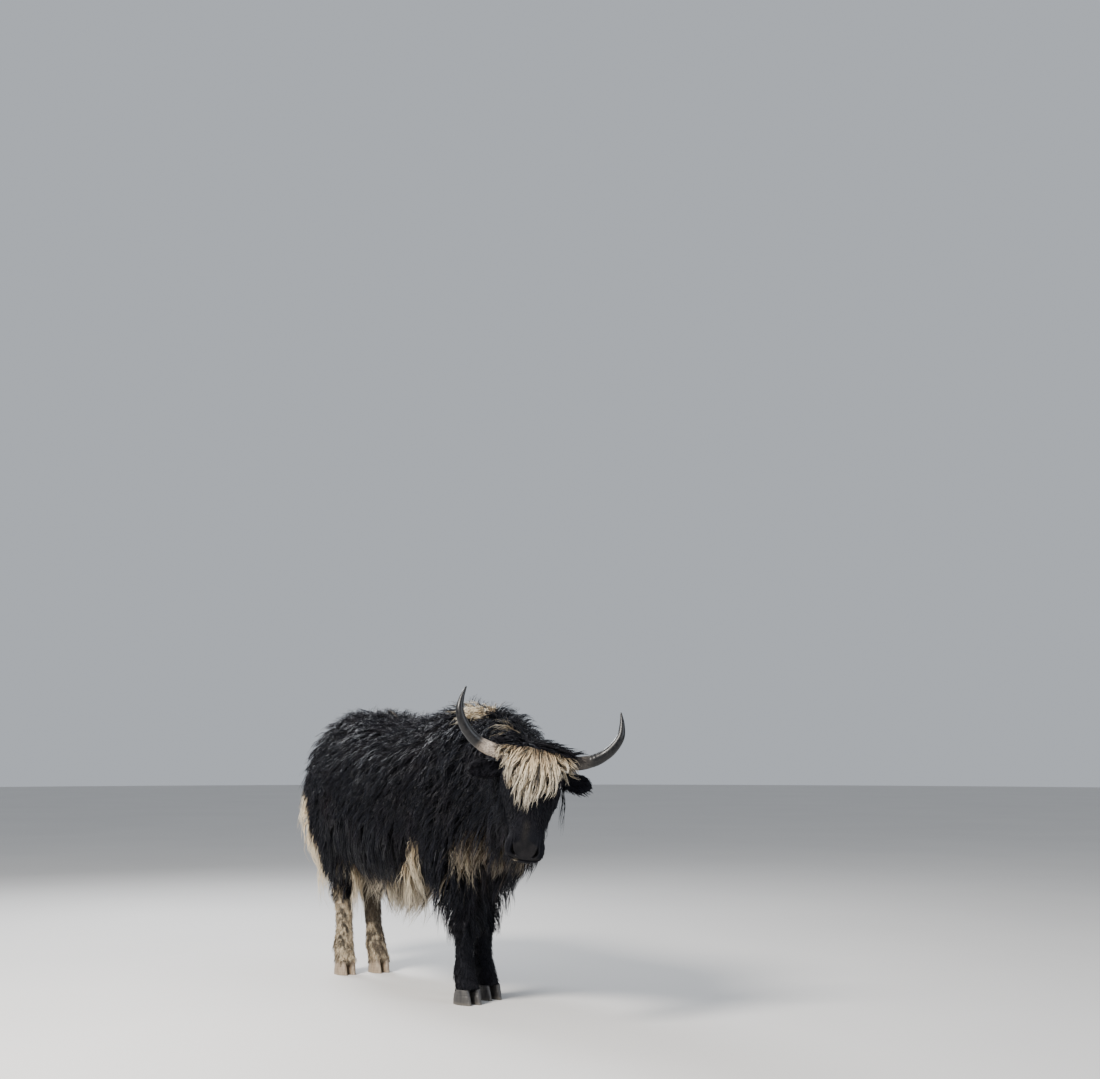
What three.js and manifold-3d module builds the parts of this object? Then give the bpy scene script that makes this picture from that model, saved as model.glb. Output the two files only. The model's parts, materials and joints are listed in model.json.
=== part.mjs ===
// A domestic yak at life size, standing on level ground with its head turned to its right, as a museum shows it.
// Millimetres. +X is the way the body faces, +Y its left side, +Z up, and the floor is at z = 0.
// Each form of the body is a bent tube with an oval section. The forms are joined, parted by thin cuts where a
// person would name the parts, and the long coat grows on each part as flat, tapered locks.
import * as THREE from "three";
import { mergeVertices } from "three/addons/utils/BufferGeometryUtils.js";
import Module from "manifold-3d";

const wasm = await Module();
wasm.setup();

// Driving dimensions
const GAP = 0.3; // between parts that touch
const CORE = 22; // the felted undercoat over the skin, which the locks grow from
const RISE = 36; // how far the locks' tips stand off the undercoat on the trunk
const SINK = 26; // how deep a lock's root is set into its part
const CLEAR = 1; // between the coat and what it hangs round

// Places of the cuts that part the body
const REAR_CUT = -330; // between the hindquarters and the barrel
const GIRTH_CUT = 250; // between the barrel and the shoulders
const NECK_CUT = 800; // between the shoulders and the neck
const LEG_CUT = 520; // level where each leg leaves the coat of the trunk
const KNEE_CUT = 330;
const HOCK_CUT = 400;
const CORONET = 66; // level where the hoof begins
const NAPE_CUT = -75; // behind the poll, square to the way the face looks
const HORN_CUT = 196; // out from the middle of the head, where the horn leaves the hair
const EAR_CUT = 130;
const TAIL_CUT = -880;

// The head's place: the middle of the line between the horns, and how the head is turned
const POLL = new THREE.Vector3(1190, -110, 1110);
const HEAD_YAW = -28;
const HEAD_ROLL = -9.5; // its left side hangs lower
const FACE_PITCH = 56; // below the horizon

// Feet, at the middle of each hoof, how far each leg leans outward above it, and the hoof's share of full size
const FEET = {
  foreleg_right: { x: 575, y: -68, lean: 4, share: 1 },
  foreleg_left: { x: 500, y: 86, lean: -22, share: 1 },
  hindleg_right: { x: -590, y: -98, lean: -15, share: 0.88 },
  hindleg_left: { x: -562, y: 82, lean: -18, share: 0.88 },
};

const degrees = THREE.MathUtils.degToRad;
const point = (x, y, z) => new THREE.Vector3(x, y, z);
const X = point(1, 0, 0);
const Y = point(0, 1, 0);
const Z = point(0, 0, 1);

// Turns of the head: the face frame looks level, and the head frame runs down the face
const faceTurn = new THREE.Matrix4()
  .makeRotationZ(degrees(HEAD_YAW))
  .multiply(new THREE.Matrix4().makeRotationX(degrees(HEAD_ROLL)));
const faceFrame = new THREE.Matrix4().makeTranslation(POLL.x, POLL.y, POLL.z).multiply(faceTurn);
const headFrame = faceFrame.clone().multiply(new THREE.Matrix4().makeRotationY(degrees(FACE_PITCH)));
const inFace = (x, y, z) => point(x, y, z).applyMatrix4(faceFrame);
const inHead = (x, y, z) => point(x, y, z).applyMatrix4(headFrame);
const headAxis = (x, y, z) => point(x, y, z).transformDirection(headFrame);
const faceAxis = (x, y, z) => point(x, y, z).transformDirection(faceFrame);

// Random numbers, the same each time
function seeded(seed) {
  let state = seed;
  return () => {
    state = (state + 0x6d2b79f5) | 0;
    let t = Math.imul(state ^ (state >>> 15), 1 | state);
    t = (t + Math.imul(t ^ (t >>> 7), 61 | t)) ^ t;
    return ((t ^ (t >>> 14)) >>> 0) / 4294967296;
  };
}

// Solids from three.js geometry, and back
function solid(geometry) {
  const bare = geometry.index ? geometry.toNonIndexed() : geometry.clone();
  const shape = new THREE.BufferGeometry().setAttribute("position", bare.getAttribute("position"));
  const merged = mergeVertices(shape, 1e-3);
  return new wasm.Manifold(
    new wasm.Mesh({
      numProp: 3,
      vertProperties: merged.attributes.position.array,
      triVerts: new Uint32Array(merged.index.array),
    }),
  );
}

function geometryOf(shape) {
  const mesh = shape.getMesh();
  const stride = mesh.numProp;
  const places = new Float32Array(mesh.numVert * 3);
  for (let i = 0; i < mesh.numVert; i++) {
    places.set(mesh.vertProperties.subarray(i * stride, i * stride + 3), i * 3);
  }
  const geometry = new THREE.BufferGeometry();
  geometry.setAttribute("position", new THREE.BufferAttribute(places, 3));
  geometry.setIndex(new THREE.BufferAttribute(mesh.triVerts, 1));
  return geometry;
}

const joined = (shapes) => wasm.Manifold.union(shapes);
const largest = (shape) => shape.decompose().reduce((a, b) => (b.volume() > a.volume() ? b : a));

// Half of space: all that lies before a plane's offset along its normal, or past it
const REACH = 8000;
function before(normal, offset) {
  const box = new THREE.BoxGeometry(REACH, REACH, REACH);
  const turn = new THREE.Quaternion().setFromUnitVectors(Z, normal);
  const middle = normal.clone().multiplyScalar(offset - REACH / 2);
  box.applyMatrix4(new THREE.Matrix4().compose(middle, turn, point(1, 1, 1)));
  return solid(box);
}
const past = (normal, offset) => before(normal.clone().negate(), -offset);
const within = (...regions) => regions.reduce((a, b) => a.intersect(b));

// The two sides of a thin cut
const nearSide = (shape, normal, offset) => shape.intersect(before(normal, offset - GAP / 2));
const farSide = (shape, normal, offset) => shape.intersect(past(normal, offset + GAP / 2));

// A closed tube of rings, each a list of as many points, that runs counterclockwise seen from the tube's far end
function tube(rings) {
  const sides = rings[0].length;
  const places = [];
  const middle = (ring) => ring.reduce((sum, p) => sum.add(p), point(0, 0, 0)).divideScalar(sides);
  const face = (a, b, c) => places.push(...a.toArray(), ...b.toArray(), ...c.toArray());
  for (let k = 0; k + 1 < rings.length; k++) {
    for (let i = 0; i < sides; i++) {
      const next = (i + 1) % sides;
      const [a, b, c, d] = [rings[k][i], rings[k][next], rings[k + 1][next], rings[k + 1][i]];
      face(a, b, d);
      face(b, c, d);
    }
  }
  const [start, end] = [rings[0], rings[rings.length - 1]];
  const [first, last] = [middle(start), middle(end)];
  for (let i = 0; i < sides; i++) {
    const next = (i + 1) % sides;
    face(first, start[next], start[i]);
    face(last, end[i], end[next]);
  }
  return new THREE.BufferGeometry().setAttribute("position", new THREE.Float32BufferAttribute(places, 3));
}

// A form: an oval section at each station, run along a smooth line through the stations' middles.
// half is the half-width to each side, above and below the height on the up side and the other.
const DOME_STEPS = [35, 65, 84];
class Form {
  constructor(stations, { up = Z, sides = 20, rings = 16, domes = [0, 0], square = 2.2, grow = 0 }) {
    this.line = new THREE.CatmullRomCurve3(stations.map((s) => s.at));
    const sizes = stations.map((s) => point(s.half + grow, s.above + grow, s.below + grow));
    this.sizes = new THREE.CatmullRomCurve3(sizes);
    Object.assign(this, { up, sides, rings, domes, square, grow });
    this.samples = Array.from({ length: rings + 1 }, (_, k) => this.at(k / rings));
  }

  at(t) {
    const along = this.line.getTangent(t);
    const side = this.up.clone().cross(along).normalize();
    const over = along.clone().cross(side);
    const size = this.sizes.getPoint(t);
    return { middle: this.line.getPoint(t), along, side, over, half: size.x, above: size.y, below: size.z };
  }

  // The point of the section at an angle from the left side, upward, with the section's size times share
  onSection(s, angle, share = 1) {
    const bend = (v) => Math.sign(v) * Math.abs(v) ** (2 / this.square);
    const across = bend(Math.cos(angle)) * s.half;
    const sine = bend(Math.sin(angle));
    const high = sine * (sine > 0 ? s.above : s.below);
    return s.middle.clone().addScaledVector(s.side, across * share).addScaledVector(s.over, high * share);
  }

  surface(t, angle) {
    return this.onSection(this.at(t), angle);
  }

  geometry() {
    const ring = (s, share = 1, shift = 0) =>
      Array.from({ length: this.sides }, (_, i) =>
        this.onSection(s, (2 * Math.PI * i) / this.sides, share).addScaledVector(s.along, shift),
      );
    const rings = this.samples.map((s) => ring(s));
    const dome = (s, deep, sign) =>
      DOME_STEPS.map((a) => ring(s, Math.cos(degrees(a)), sign * deep * Math.sin(degrees(a))));
    if (this.domes[0]) rings.unshift(...dome(this.samples[0], this.domes[0], -1).reverse());
    if (this.domes[1]) rings.push(...dome(this.samples[this.samples.length - 1], this.domes[1], 1));
    return tube(rings);
  }

  // About how far a place is outside the form, negative inside
  height(p) {
    let nearest = { distance: Infinity };
    for (let k = 0; k + 1 < this.samples.length; k++) {
      const [a, b] = [this.samples[k], this.samples[k + 1]];
      const step = b.middle.clone().sub(a.middle);
      const share = THREE.MathUtils.clamp(p.clone().sub(a.middle).dot(step) / step.lengthSq(), 0, 1);
      const distance = p.distanceTo(a.middle.clone().addScaledVector(step, share));
      if (distance < nearest.distance) nearest = { distance, a, b, share };
    }
    const { a, b, share } = nearest;
    const mix = (name) => THREE.MathUtils.lerp(a[name], b[name], share);
    const away = p.clone().sub(a.middle.clone().lerp(b.middle, share));
    const across = away.dot(a.side);
    const high = away.dot(a.over);
    const beyond = Math.abs(away.dot(a.along));
    const reach = Math.hypot(across, high) || 1e-6;
    const tall = high > 0 ? mix("above") : mix("below");
    const part = (size, whole) => Math.abs(size / whole) ** this.square;
    const oval = (part(across, mix("half")) + part(high, tall)) ** (1 / this.square);
    const radial = reach - reach / Math.max(oval, 1e-6);
    return beyond > 1 && radial > 0 ? Math.hypot(radial, beyond) : Math.max(radial, beyond > 1 ? beyond : radial);
  }
}

// Stations that lie along X, given as lists of x, top, bottom and half-width
const level = (rows) =>
  rows.map(([x, top, bottom, half]) => {
    const middle = bottom + (top - bottom) * 0.45;
    return { at: point(x, 0, middle), half, above: top - middle, below: middle - bottom };
  });

// The trunk's skin, from the buttocks to the chest
const TRUNK = [
  [-815, 1185, 790, 150],
  [-715, 1278, 680, 240],
  [-540, 1300, 630, 282],
  [-250, 1282, 590, 292],
  [50, 1242, 562, 300],
  [300, 1264, 572, 276],
  [550, 1316, 590, 238],
  [720, 1294, 620, 200],
  [820, 1205, 690, 150],
];
const HANG = 45; // how much lower the undercoat hangs under the belly
const trunkRows = TRUNK.map(([x, top, bottom, half]) => [x, top, bottom - HANG, half]);
const trunk = new Form(level(trunkRows), { sides: 16, rings: 12, domes: [55, 45], grow: CORE });

// The neck, from inside the shoulders to inside the skull
const NECK = [
  { at: point(560, 0, 1000), half: 170, above: 275, below: 280 },
  { at: point(760, -5, 990), half: 155, above: 288, below: 270 },
  { at: point(930, -25, 985), half: 128, above: 240, below: 230 },
  { at: point(1080, -65, 990), half: 125, above: 172, below: 170 },
  { at: point(1170, -115, 1010), half: 105, above: 105, below: 110 },
];
const neckForm = (grow) => new Form(NECK, { sides: 14, rings: 6, square: 2.4, grow });
const neck = neckForm(CORE);

// The head's sections, down the face from behind the poll to the muzzle: place, half-width, above, below
const HEAD = [
  [-50, 78, 22, 100],
  [15, 106, 55, 145],
  [80, 122, 70, 168],
  [145, 124, 72, 174],
  [215, 106, 62, 164],
  [280, 82, 54, 134],
  [345, 70, 46, 102],
  [405, 71, 42, 86],
  [450, 78, 39, 80],
  [478, 74, 32, 70],
];
const headForm = (grow) =>
  new Form(
    HEAD.map(([x, half, above, below]) => ({ at: inHead(x, 0, 0), half, above, below })),
    { up: headAxis(0, 0, 1), sides: 16, rings: 12, domes: [20 + grow, 18 + grow], square: 2.5, grow },
  );
const head = headForm(0);

// A leg's sections, given as rows of level, forward place from the hoof, outward place, half-width, fore and aft
function legForm(name, rows, grow = 0) {
  const foot = FEET[name];
  const out = Math.sign(foot.y);
  const leaning = (z) => foot.lean * THREE.MathUtils.clamp((2 * (z - CORONET)) / (LEG_CUT - CORONET), 0, 1);
  const stations = rows.map(([z, forward, outward, half, fore, aft]) => ({
    at: point(foot.x + forward, foot.y + out * (outward + leaning(z)), z),
    half,
    above: fore,
    below: aft,
  }));
  return new Form(stations, { up: X, sides: 10, rings: 12, grow });
}
const FORE = [
  [900, 20, 60, 80, 120, 120],
  [760, -10, 52, 88, 115, 125],
  [620, -25, 36, 74, 86, 96],
  [500, -18, 20, 58, 60, 66],
  [400, -10, 8, 49, 49, 49],
  [345, -8, 4, 50, 51, 47],
  [280, -12, 2, 41, 40, 42],
  [190, -18, 0, 39, 38, 40],
  [135, -16, 0, 47, 46, 48],
  [95, -7, 0, 45, 48, 44],
  [CORONET - 12, 2, 0, 54, 60, 50],
];
const HIND = [
  [1000, 60, 70, 90, 150, 160],
  [820, 40, 80, 100, 165, 170],
  [680, 10, 58, 84, 140, 130],
  [580, -30, 30, 58, 92, 82],
  [500, -62, 10, 48, 62, 62],
  [455, -66, 4, 48, 56, 56],
  [380, -54, 2, 42, 46, 46],
  [240, -34, 0, 38, 40, 40],
  [140, -22, 0, 47, 46, 48],
  [98, -10, 0, 45, 47, 44],
  [CORONET - 12, 2, 0, 54, 60, 48],
];
const legRows = (name) => (name.startsWith("fore") ? FORE : HIND);
const names = Object.keys(FEET);
const legs = Object.fromEntries(names.map((name) => [name, legForm(name, legRows(name))]));

// Two claws make a hoof, each with a flat sole
const CLAW = { half: 28, apart: 31, sides: 10 };
const clawRows = [
  { z: CORONET - GAP / 2, fore: 52, aft: 46, share: 0.86 },
  { z: 34, fore: 64, aft: 48, share: 0.96 },
  { z: 0, fore: 76, aft: 48, share: 1 },
];
function claw(foot, side) {
  const stations = clawRows.map((row) => ({
    at: point(foot.x, foot.y + side * CLAW.apart * foot.share, row.z),
    half: CLAW.half * row.share * foot.share,
    above: row.fore * foot.share,
    below: row.aft * foot.share,
  }));
  return solid(new Form(stations, { up: X, sides: CLAW.sides, rings: 2, square: 2.4 }).geometry());
}

// Dewclaws, two behind each fetlock
function dewclaws(foot) {
  return [-1, 1].map((side) => {
    const cone = new THREE.ConeGeometry(15, 44, 7);
    cone.rotateY(0.2);
    cone.rotateX(Math.PI);
    cone.rotateY(Math.PI / 2);
    cone.translate(foot.x - 56, foot.y + side * 21, 122);
    return solid(cone);
  });
}

// The tail's fleshy part, hanging a little to the right
const TAIL = [
  { at: point(-760, 0, 1120), half: 44, above: 44, below: 44 },
  { at: point(-860, -12, 1118), half: 42, above: 42, below: 42 },
  { at: point(-935, -35, 1060), half: 38, above: 38, below: 38 },
  { at: point(-965, -62, 950), half: 36, above: 36, below: 36 },
  { at: point(-968, -82, 820), half: 34, above: 34, below: 34 },
  { at: point(-958, -84, 700), half: 24, above: 24, below: 24 },
];
const tailForm = (grow) => new Form(TAIL, { up: Y, sides: 9, rings: 9, domes: [0, 20], square: 2, grow });
const tail = tailForm(0);

// Horns: out, forward and up, with the tips turned in. Outward, forward and upward place, then radius.
const HORN = [
  [70, 0, -8, 32],
  [140, 0, -4, 31],
  [205, 3, 6, 29],
  [265, 14, 32, 26],
  [318, 26, 80, 23],
  [350, 26, 142, 18],
  [350, 14, 200, 11],
  [340, 4, 244, 4],
];
const hornForm = (side, grow = 0) =>
  new Form(
    HORN.map(([out, fore, high, r]) => ({ at: inFace(fore, side * out, high), half: r, above: r, below: r })),
    { up: faceAxis(1, 0, 0), sides: 8, rings: 11, domes: [0, 5], square: 2, grow },
  );

// Ears: outward, forward and upward place, half the thickness, half the height. The cup opens forward.
const EAR = [
  [70, -30, -62, 16, 20],
  [130, -34, -72, 15, 27],
  [178, -37, -80, 15, 40],
  [225, -37, -86, 13, 40],
  [262, -34, -88, 7, 22],
];
const CUP = [
  [140, -22, -73, 6, 13],
  [178, -22, -80, 10, 27],
  [222, -24, -86, 9, 28],
  [249, -24, -87, 5, 13],
];
const earForm = (rows, side, grow = 0) =>
  new Form(
    rows.map(([out, fore, high, thick, tall]) => ({
      at: inFace(fore, side * out, high),
      half: thick,
      above: tall,
      below: tall,
    })),
    { up: faceAxis(0, 0, 1), sides: 9, rings: 5, domes: [0, 8], square: 2, grow },
  );

// Eyes, with lids that leave an almond-shaped opening
const EYE = { down: 145, out: 104, above: 30, radius: 19, lid: 4.5, openLong: 17, openTall: 10 };
const eyePlace = (side) => inHead(EYE.down, side * EYE.out, EYE.above);
function ball(radius, at, sides = 10) {
  const sphere = new THREE.SphereGeometry(radius, sides, Math.round(sides * 0.6));
  return solid(sphere.rotateX(Math.PI / 2).translate(at.x, at.y, at.z));
}
function lids(side) {
  const opening = new THREE.SphereGeometry(1, 10, 5).scale(EYE.openLong, 60, EYE.openTall);
  opening.rotateY(degrees(12)).translate(EYE.down, side * (EYE.out + 30), EYE.above + 2);
  const shell = ball(EYE.radius + EYE.lid, eyePlace(side), 9);
  return shell.subtract(solid(opening.applyMatrix4(headFrame)));
}

// The mouth: a groove all round the muzzle between two lips, drawn in profile as down the face and height
const MOUTH = { corner: 372, front: 520, rise: 16, level: -44, groove: 3.5, lip: 9, deep: 8, proud: 3 };
function mouthBand(tall) {
  const line = new THREE.QuadraticBezierCurve(
    new THREE.Vector2(MOUTH.corner, MOUTH.level + MOUTH.rise),
    new THREE.Vector2((MOUTH.corner + MOUTH.front) / 2, MOUTH.level - MOUTH.rise),
    new THREE.Vector2(MOUTH.front, MOUTH.level),
  );
  const points = line.getPoints(3);
  const edge = (sign) => points.map((p) => new THREE.Vector2(p.x, p.y + (sign * tall) / 2));
  const outline = new THREE.Shape([...edge(-1), ...edge(1).reverse()]);
  const band = new THREE.ExtrudeGeometry(outline, { depth: 240, bevelEnabled: false });
  band.translate(0, 0, -120).rotateX(Math.PI / 2).applyMatrix4(headFrame);
  return solid(band);
}
const NOSTRIL = { down: 474, out: 36, above: -2, half: 9, tall: 15, deep: 22 };
function nostril(side) {
  const hole = new THREE.SphereGeometry(1, 8, 6).scale(NOSTRIL.deep, NOSTRIL.half, NOSTRIL.tall);
  hole.rotateX(side * degrees(-35)).rotateZ(side * degrees(18));
  hole.translate(NOSTRIL.down + 14, side * NOSTRIL.out, NOSTRIL.above);
  return solid(hole.applyMatrix4(headFrame));
}

// How far a place is outside the nearest of some forms, the way straight out from them, and the skin under it
const PROBE = 4;
const TRIES = 6;
const clearance = (p, forms) => Math.min(...forms.map((form) => form.height(p)));
function outward(p, forms) {
  const slope = [X, Y, Z].map((axis) => {
    const [ahead, behind] = [PROBE, -PROBE].map((step) => p.clone().addScaledVector(axis, step));
    return clearance(ahead, forms) - clearance(behind, forms);
  });
  return point(...slope).normalize();
}
function onSkin(p, forms) {
  const place = p.clone();
  for (let i = 0; i < TRIES; i++) place.addScaledVector(outward(place, forms), -clearance(place, forms));
  return place;
}

// A lock of hair. It grows from a narrow root set into its part, follows the lie of the coat while it lifts off
// the skin, and tapers to a point. Its section is a low triangle, flat towards the skin. cling says how closely it
// keeps to the skin, sway bends it to a side and back, and droop turns it down. A fat one shows what it would touch.
const LIE = point(-0.42, 0, -1).normalize(); // the way the coat lies: down, and a little to the rear
const DOWN = point(0, 0, -1);
const WALK = 12; // short steps along a lock
const ROOT_WIDE = 0.15; // the root's share of the width
const LIFT = 0.7; // how fast a lock lifts off the skin: the power of the share of its length
const WAVE = 1.4 * Math.PI;
const SECTIONS = [
  { step: 3, wide: 1, thick: 1 },
  { step: 7, wide: 0.82, thick: 0.85 },
  { step: 10, wide: 0.44, thick: 0.55 },
];
function lock(hair, forms, fat = 0) {
  const { root, length, width, thick, rise, sway } = hair;
  const { lie = LIE, cling = 1, droop = 0, sink = SINK } = hair;
  const heading = (n, share) => {
    const way = lie.clone().lerp(DOWN, droop * share);
    if (way.dot(n) < 0 || cling > 0) way.projectOnPlane(n);
    return way.normalize().applyAxisAngle(n, sway * Math.cos(share * WAVE));
  };
  const place = root.clone();
  let normal = outward(place, forms);
  let way = heading(normal, 0);
  const ring = (wide, high) => {
    const side = normal.clone().cross(way).normalize().multiplyScalar((width * wide) / 2 + fat);
    const over = way.clone().cross(side).normalize();
    const back = place.clone().addScaledVector(over, -fat);
    const ridge = place.clone().addScaledVector(over, thick * high + fat);
    return [back.clone().add(side), ridge, back.clone().sub(side)];
  };
  place.addScaledVector(normal, -sink).addScaledVector(way, -0.5 * sink);
  const rings = [ring(ROOT_WIDE, 1)];
  place.copy(root);
  for (let k = 1; k <= WALK; k++) {
    const share = k / WALK;
    place.addScaledVector(way, length / WALK);
    const short = rise * share ** LIFT - clearance(place, forms);
    place.addScaledVector(normal, short > 0 ? short : short * cling);
    normal = outward(place, forms);
    way = heading(normal, share);
    const section = SECTIONS.find((s) => s.step === k);
    if (section) rings.push(ring(section.wide, section.thick));
  }
  const tip = place.addScaledVector(way, fat);
  const places = [];
  const face = (a, b, c) => places.push(...a.toArray(), ...b.toArray(), ...c.toArray());
  face(...rings[0].toReversed());
  for (let k = 0; k + 1 < rings.length; k++) {
    for (let i = 0; i < 3; i++) {
      const next = (i + 1) % 3;
      face(rings[k][i], rings[k][next], rings[k + 1][i]);
      face(rings[k][next], rings[k + 1][next], rings[k + 1][i]);
    }
  }
  const last = rings[rings.length - 1];
  for (let i = 0; i < 3; i++) face(last[i], last[(i + 1) % 3], tip);
  const position = new THREE.Float32BufferAttribute(places, 3);
  return solid(new THREE.BufferGeometry().setAttribute("position", position));
}

// Each lock differs a little from the next
const random = seeded(1);
const spread = (amount) => amount * (2 * random() - 1);
const vary = (hair) => ({
  ...hair,
  length: hair.length * (1 + spread(0.14)),
  width: hair.width * (1 + spread(0.1)),
  rise: hair.rise * (1 + spread(0.15)),
  sway: degrees(spread(hair.sway)),
});

// Rows of locks along a form, one row to each angle round its section, on both sides unless it is the middle row.
// The rows are staggered, and every other lock lies a layer higher than its neighbours.
const STAGGER = 0.22;
function rows(form, { from, to, count, layer, ...shape }, list) {
  return list.flatMap(({ angle, ...own }, row) =>
    (angle === 90 ? [1] : [1, -1]).flatMap((side) =>
      Array.from({ length: count }, (_, i) => {
        const share = (i + 0.5 + (row % 2 ? STAGGER : -STAGGER) + spread(0.08)) / count;
        const turn = angle + spread(3);
        const root = form.surface(from + (to - from) * share, degrees(side > 0 ? turn : 180 - turn));
        const hair = { ...shape, ...own, root };
        return vary({ ...hair, rise: hair.rise + (i % 2) * layer });
      }),
    ),
  );
}
// Locks with their roots at the skin near some places
const at = (places, forms, shape) => places.map((place) => vary({ ...shape, root: onSkin(place, forms) }));
const grid = (xs, ys, zs) => xs.flatMap((x) => ys.flatMap((y) => zs.map((z) => point(x, y, z))));

// The coat of the trunk and neck. Roots that would lie deep inside a neighbouring form are left out.
const bodyForms = [trunk, neck, head];
const DEEPEST = -15;
const HANGING = { cling: 0, droop: 1 };
const BUTTOCK = { length: 250, width: 125, rise: 28, lie: point(0.3, 0, -1).normalize() };
const RUFF = { length: 190, width: 100, rise: 60, cling: 0, droop: 0.3 };
const SHAG = { length: 290, width: 190, thick: 15, rise: RISE, layer: 5, sway: 9 };
const coat = [
  ...rows(trunk, { ...SHAG, from: 0.03, to: 0.97, count: 7 }, [
    { angle: 90, length: 250, rise: 46 },
    { angle: 58, length: 270 },
    { angle: 24 },
  ]),
  ...rows(trunk, { ...SHAG, ...HANGING, from: 0.13, to: 0.97, count: 9 }, [
    { angle: -10, length: 345, width: 160 },
    { angle: -43, length: 200, width: 130 },
  ]),
  ...rows(neck, { ...SHAG, length: 230, width: 140, from: 0.45, to: 0.93, count: 2 }, [
    { angle: 90, length: 170, rise: 46 },
    { angle: 48 },
    { angle: 8 },
    { angle: -32, droop: 0.6 },
    { angle: -66, ...HANGING, length: 180 },
  ]),
  ...at(grid([-930], [-90, 90], [1150]), bodyForms, { ...SHAG, length: 250, width: 150 }),
  ...at(grid([-930], [-150, -50, 50, 150], [950]), bodyForms, { ...SHAG, ...BUTTOCK }),
  ...at(grid([-820], [-190, -65, 65, 190], [760]), bodyForms, { ...SHAG, ...BUTTOCK }),
  ...at(grid([900], [-70, 70], [740]), bodyForms, { ...SHAG, length: 260, width: 125, ...HANGING }),
  ...at(grid([445, 560], [-177, 177], [600]), bodyForms, { ...SHAG, length: 235, width: 105, ...HANGING }),
  ...[-1, 1].flatMap((side) => {
    const places = [inFace(-85, side * 70, 20), inFace(-115, side * 100, -25)];
    return at(places, bodyForms, { ...SHAG, ...RUFF, lie: faceAxis(-0.45, side, 0.05) });
  }),
].filter((hair) => clearance(hair.root, bodyForms) > DEEPEST);

// The forelock, which falls from between the horns to a point on the face
const FORELOCK = { width: 80, thick: 14, rise: 20, sink: 18, sway: 8 };
const forelockTip = inHead(345, 0, 40);
const forelock = [
  { down: -15, across: [-125, -65, 0, 65, 125], length: 210 },
  { down: 80, across: [-75, -25, 25, 75], length: 200 },
  { down: 160, across: [-28, 28], length: 170 },
].flatMap(({ down, across, length }) =>
  across.map((side) => {
    const root = onSkin(inHead(down, side, 90), [head]);
    return vary({ ...FORELOCK, root, length, lie: forelockTip.clone().sub(root).normalize() });
  }),
);
const BEARD = { width: 75, thick: 9, rise: 12, sink: 14, length: 115, lie: headAxis(0.7, 0, -1), sway: 8 };
const jaw = [85, 180].flatMap((down) => [-80, 80].map((side) => inHead(down, side, -120)));
const headLocks = [...forelock, ...at(jaw, [head], BEARD)];

// The tail's long hair
const SWITCH = { length: 300, width: 84, thick: 16, rise: 34, sink: 14, sway: 8, cling: 0 };
const SWITCH_LIE = point(0.2, 0.1, -1);
const tailLocks = [0.46, 0.7, 0.95].flatMap((t, k) =>
  [0, 120, 240].map((angle) => {
    const root = tail.surface(t, degrees(angle + 60 * (k % 2)));
    return vary({ ...SWITCH, lie: SWITCH_LIE, root });
  }),
);

// Hair on the legs: long behind the forearm and thigh, short down the shanks and behind the fetlocks
const LEG_HAIR = { width: 50, thick: 9, rise: 14, sink: 13, lie: DOWN, sway: 7 };
function legLocks(name) {
  const form = legs[name];
  const ring = (z, angles, shape) =>
    angles.map((angle) => {
      const t = form.samples.findIndex((s) => s.middle.z < z) / form.rings;
      return vary({ ...LEG_HAIR, ...shape, root: form.surface(t, degrees(angle)) });
    });
  const upper = name.startsWith("fore")
    ? ring(490, [180, 235, 305, 0], { length: 155, rise: 60, width: 70, ...HANGING })
    : ring(500, [225, 315], { length: 90 });
  const shank = ring(270, [215, 325], { length: 95 });
  const fetlock = ring(160, [230, 310], { length: 60, rise: 10 });
  return { upper, lower: [...shank, ...fetlock] };
}

// Fringes on the ears, and a thin strand that hangs from the left one
const EAR_HAIR = { width: 34, thick: 7, rise: 5, sink: 6, length: 58, lie: DOWN, sway: 5, ...HANGING };
const STRAND = { length: 190, width: 17, sway: 2 };
function earLocks(form, side) {
  const under = (t) => form.surface(t, degrees(-90));
  const fringe = [0.5, 0.8].map((t) => vary({ ...EAR_HAIR, root: under(t) }));
  return side > 0 ? [...fringe, vary({ ...EAR_HAIR, ...STRAND, root: under(0.36) })] : fringe;
}

// The skull with its lips, lids and nostrils
const headSolid = solid(head.geometry());
const lipRoll = solid(headForm(MOUTH.proud).geometry()).intersect(mouthBand(MOUTH.groove + 2 * MOUTH.lip));
const groove = mouthBand(MOUTH.groove).subtract(solid(headForm(-MOUTH.deep).geometry()));
const sockets = [1, -1].map((side) => ball(EYE.radius + GAP, eyePlace(side)));
const holes = [nostril(1), nostril(-1), ...sockets];
const skull = joined([headSolid, lipRoll, lids(1), lids(-1)]).subtract(joined([groove, ...holes]));

const noseward = faceAxis(1, 0, 0).setZ(0).normalize();
const nape = noseward.dot(POLL) + NAPE_CUT;
const sideward = (side) => faceAxis(0, side, 0);
const outFrom = (side, distance) => sideward(side).dot(POLL) + distance;

// The horns, ears, eyes, tail and legs
const parts = {};
const stumps = []; // what of the horns, ears, tail and legs belongs to the body
const sleeves = []; // the room that the body's coat leaves round the rest of them

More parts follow.
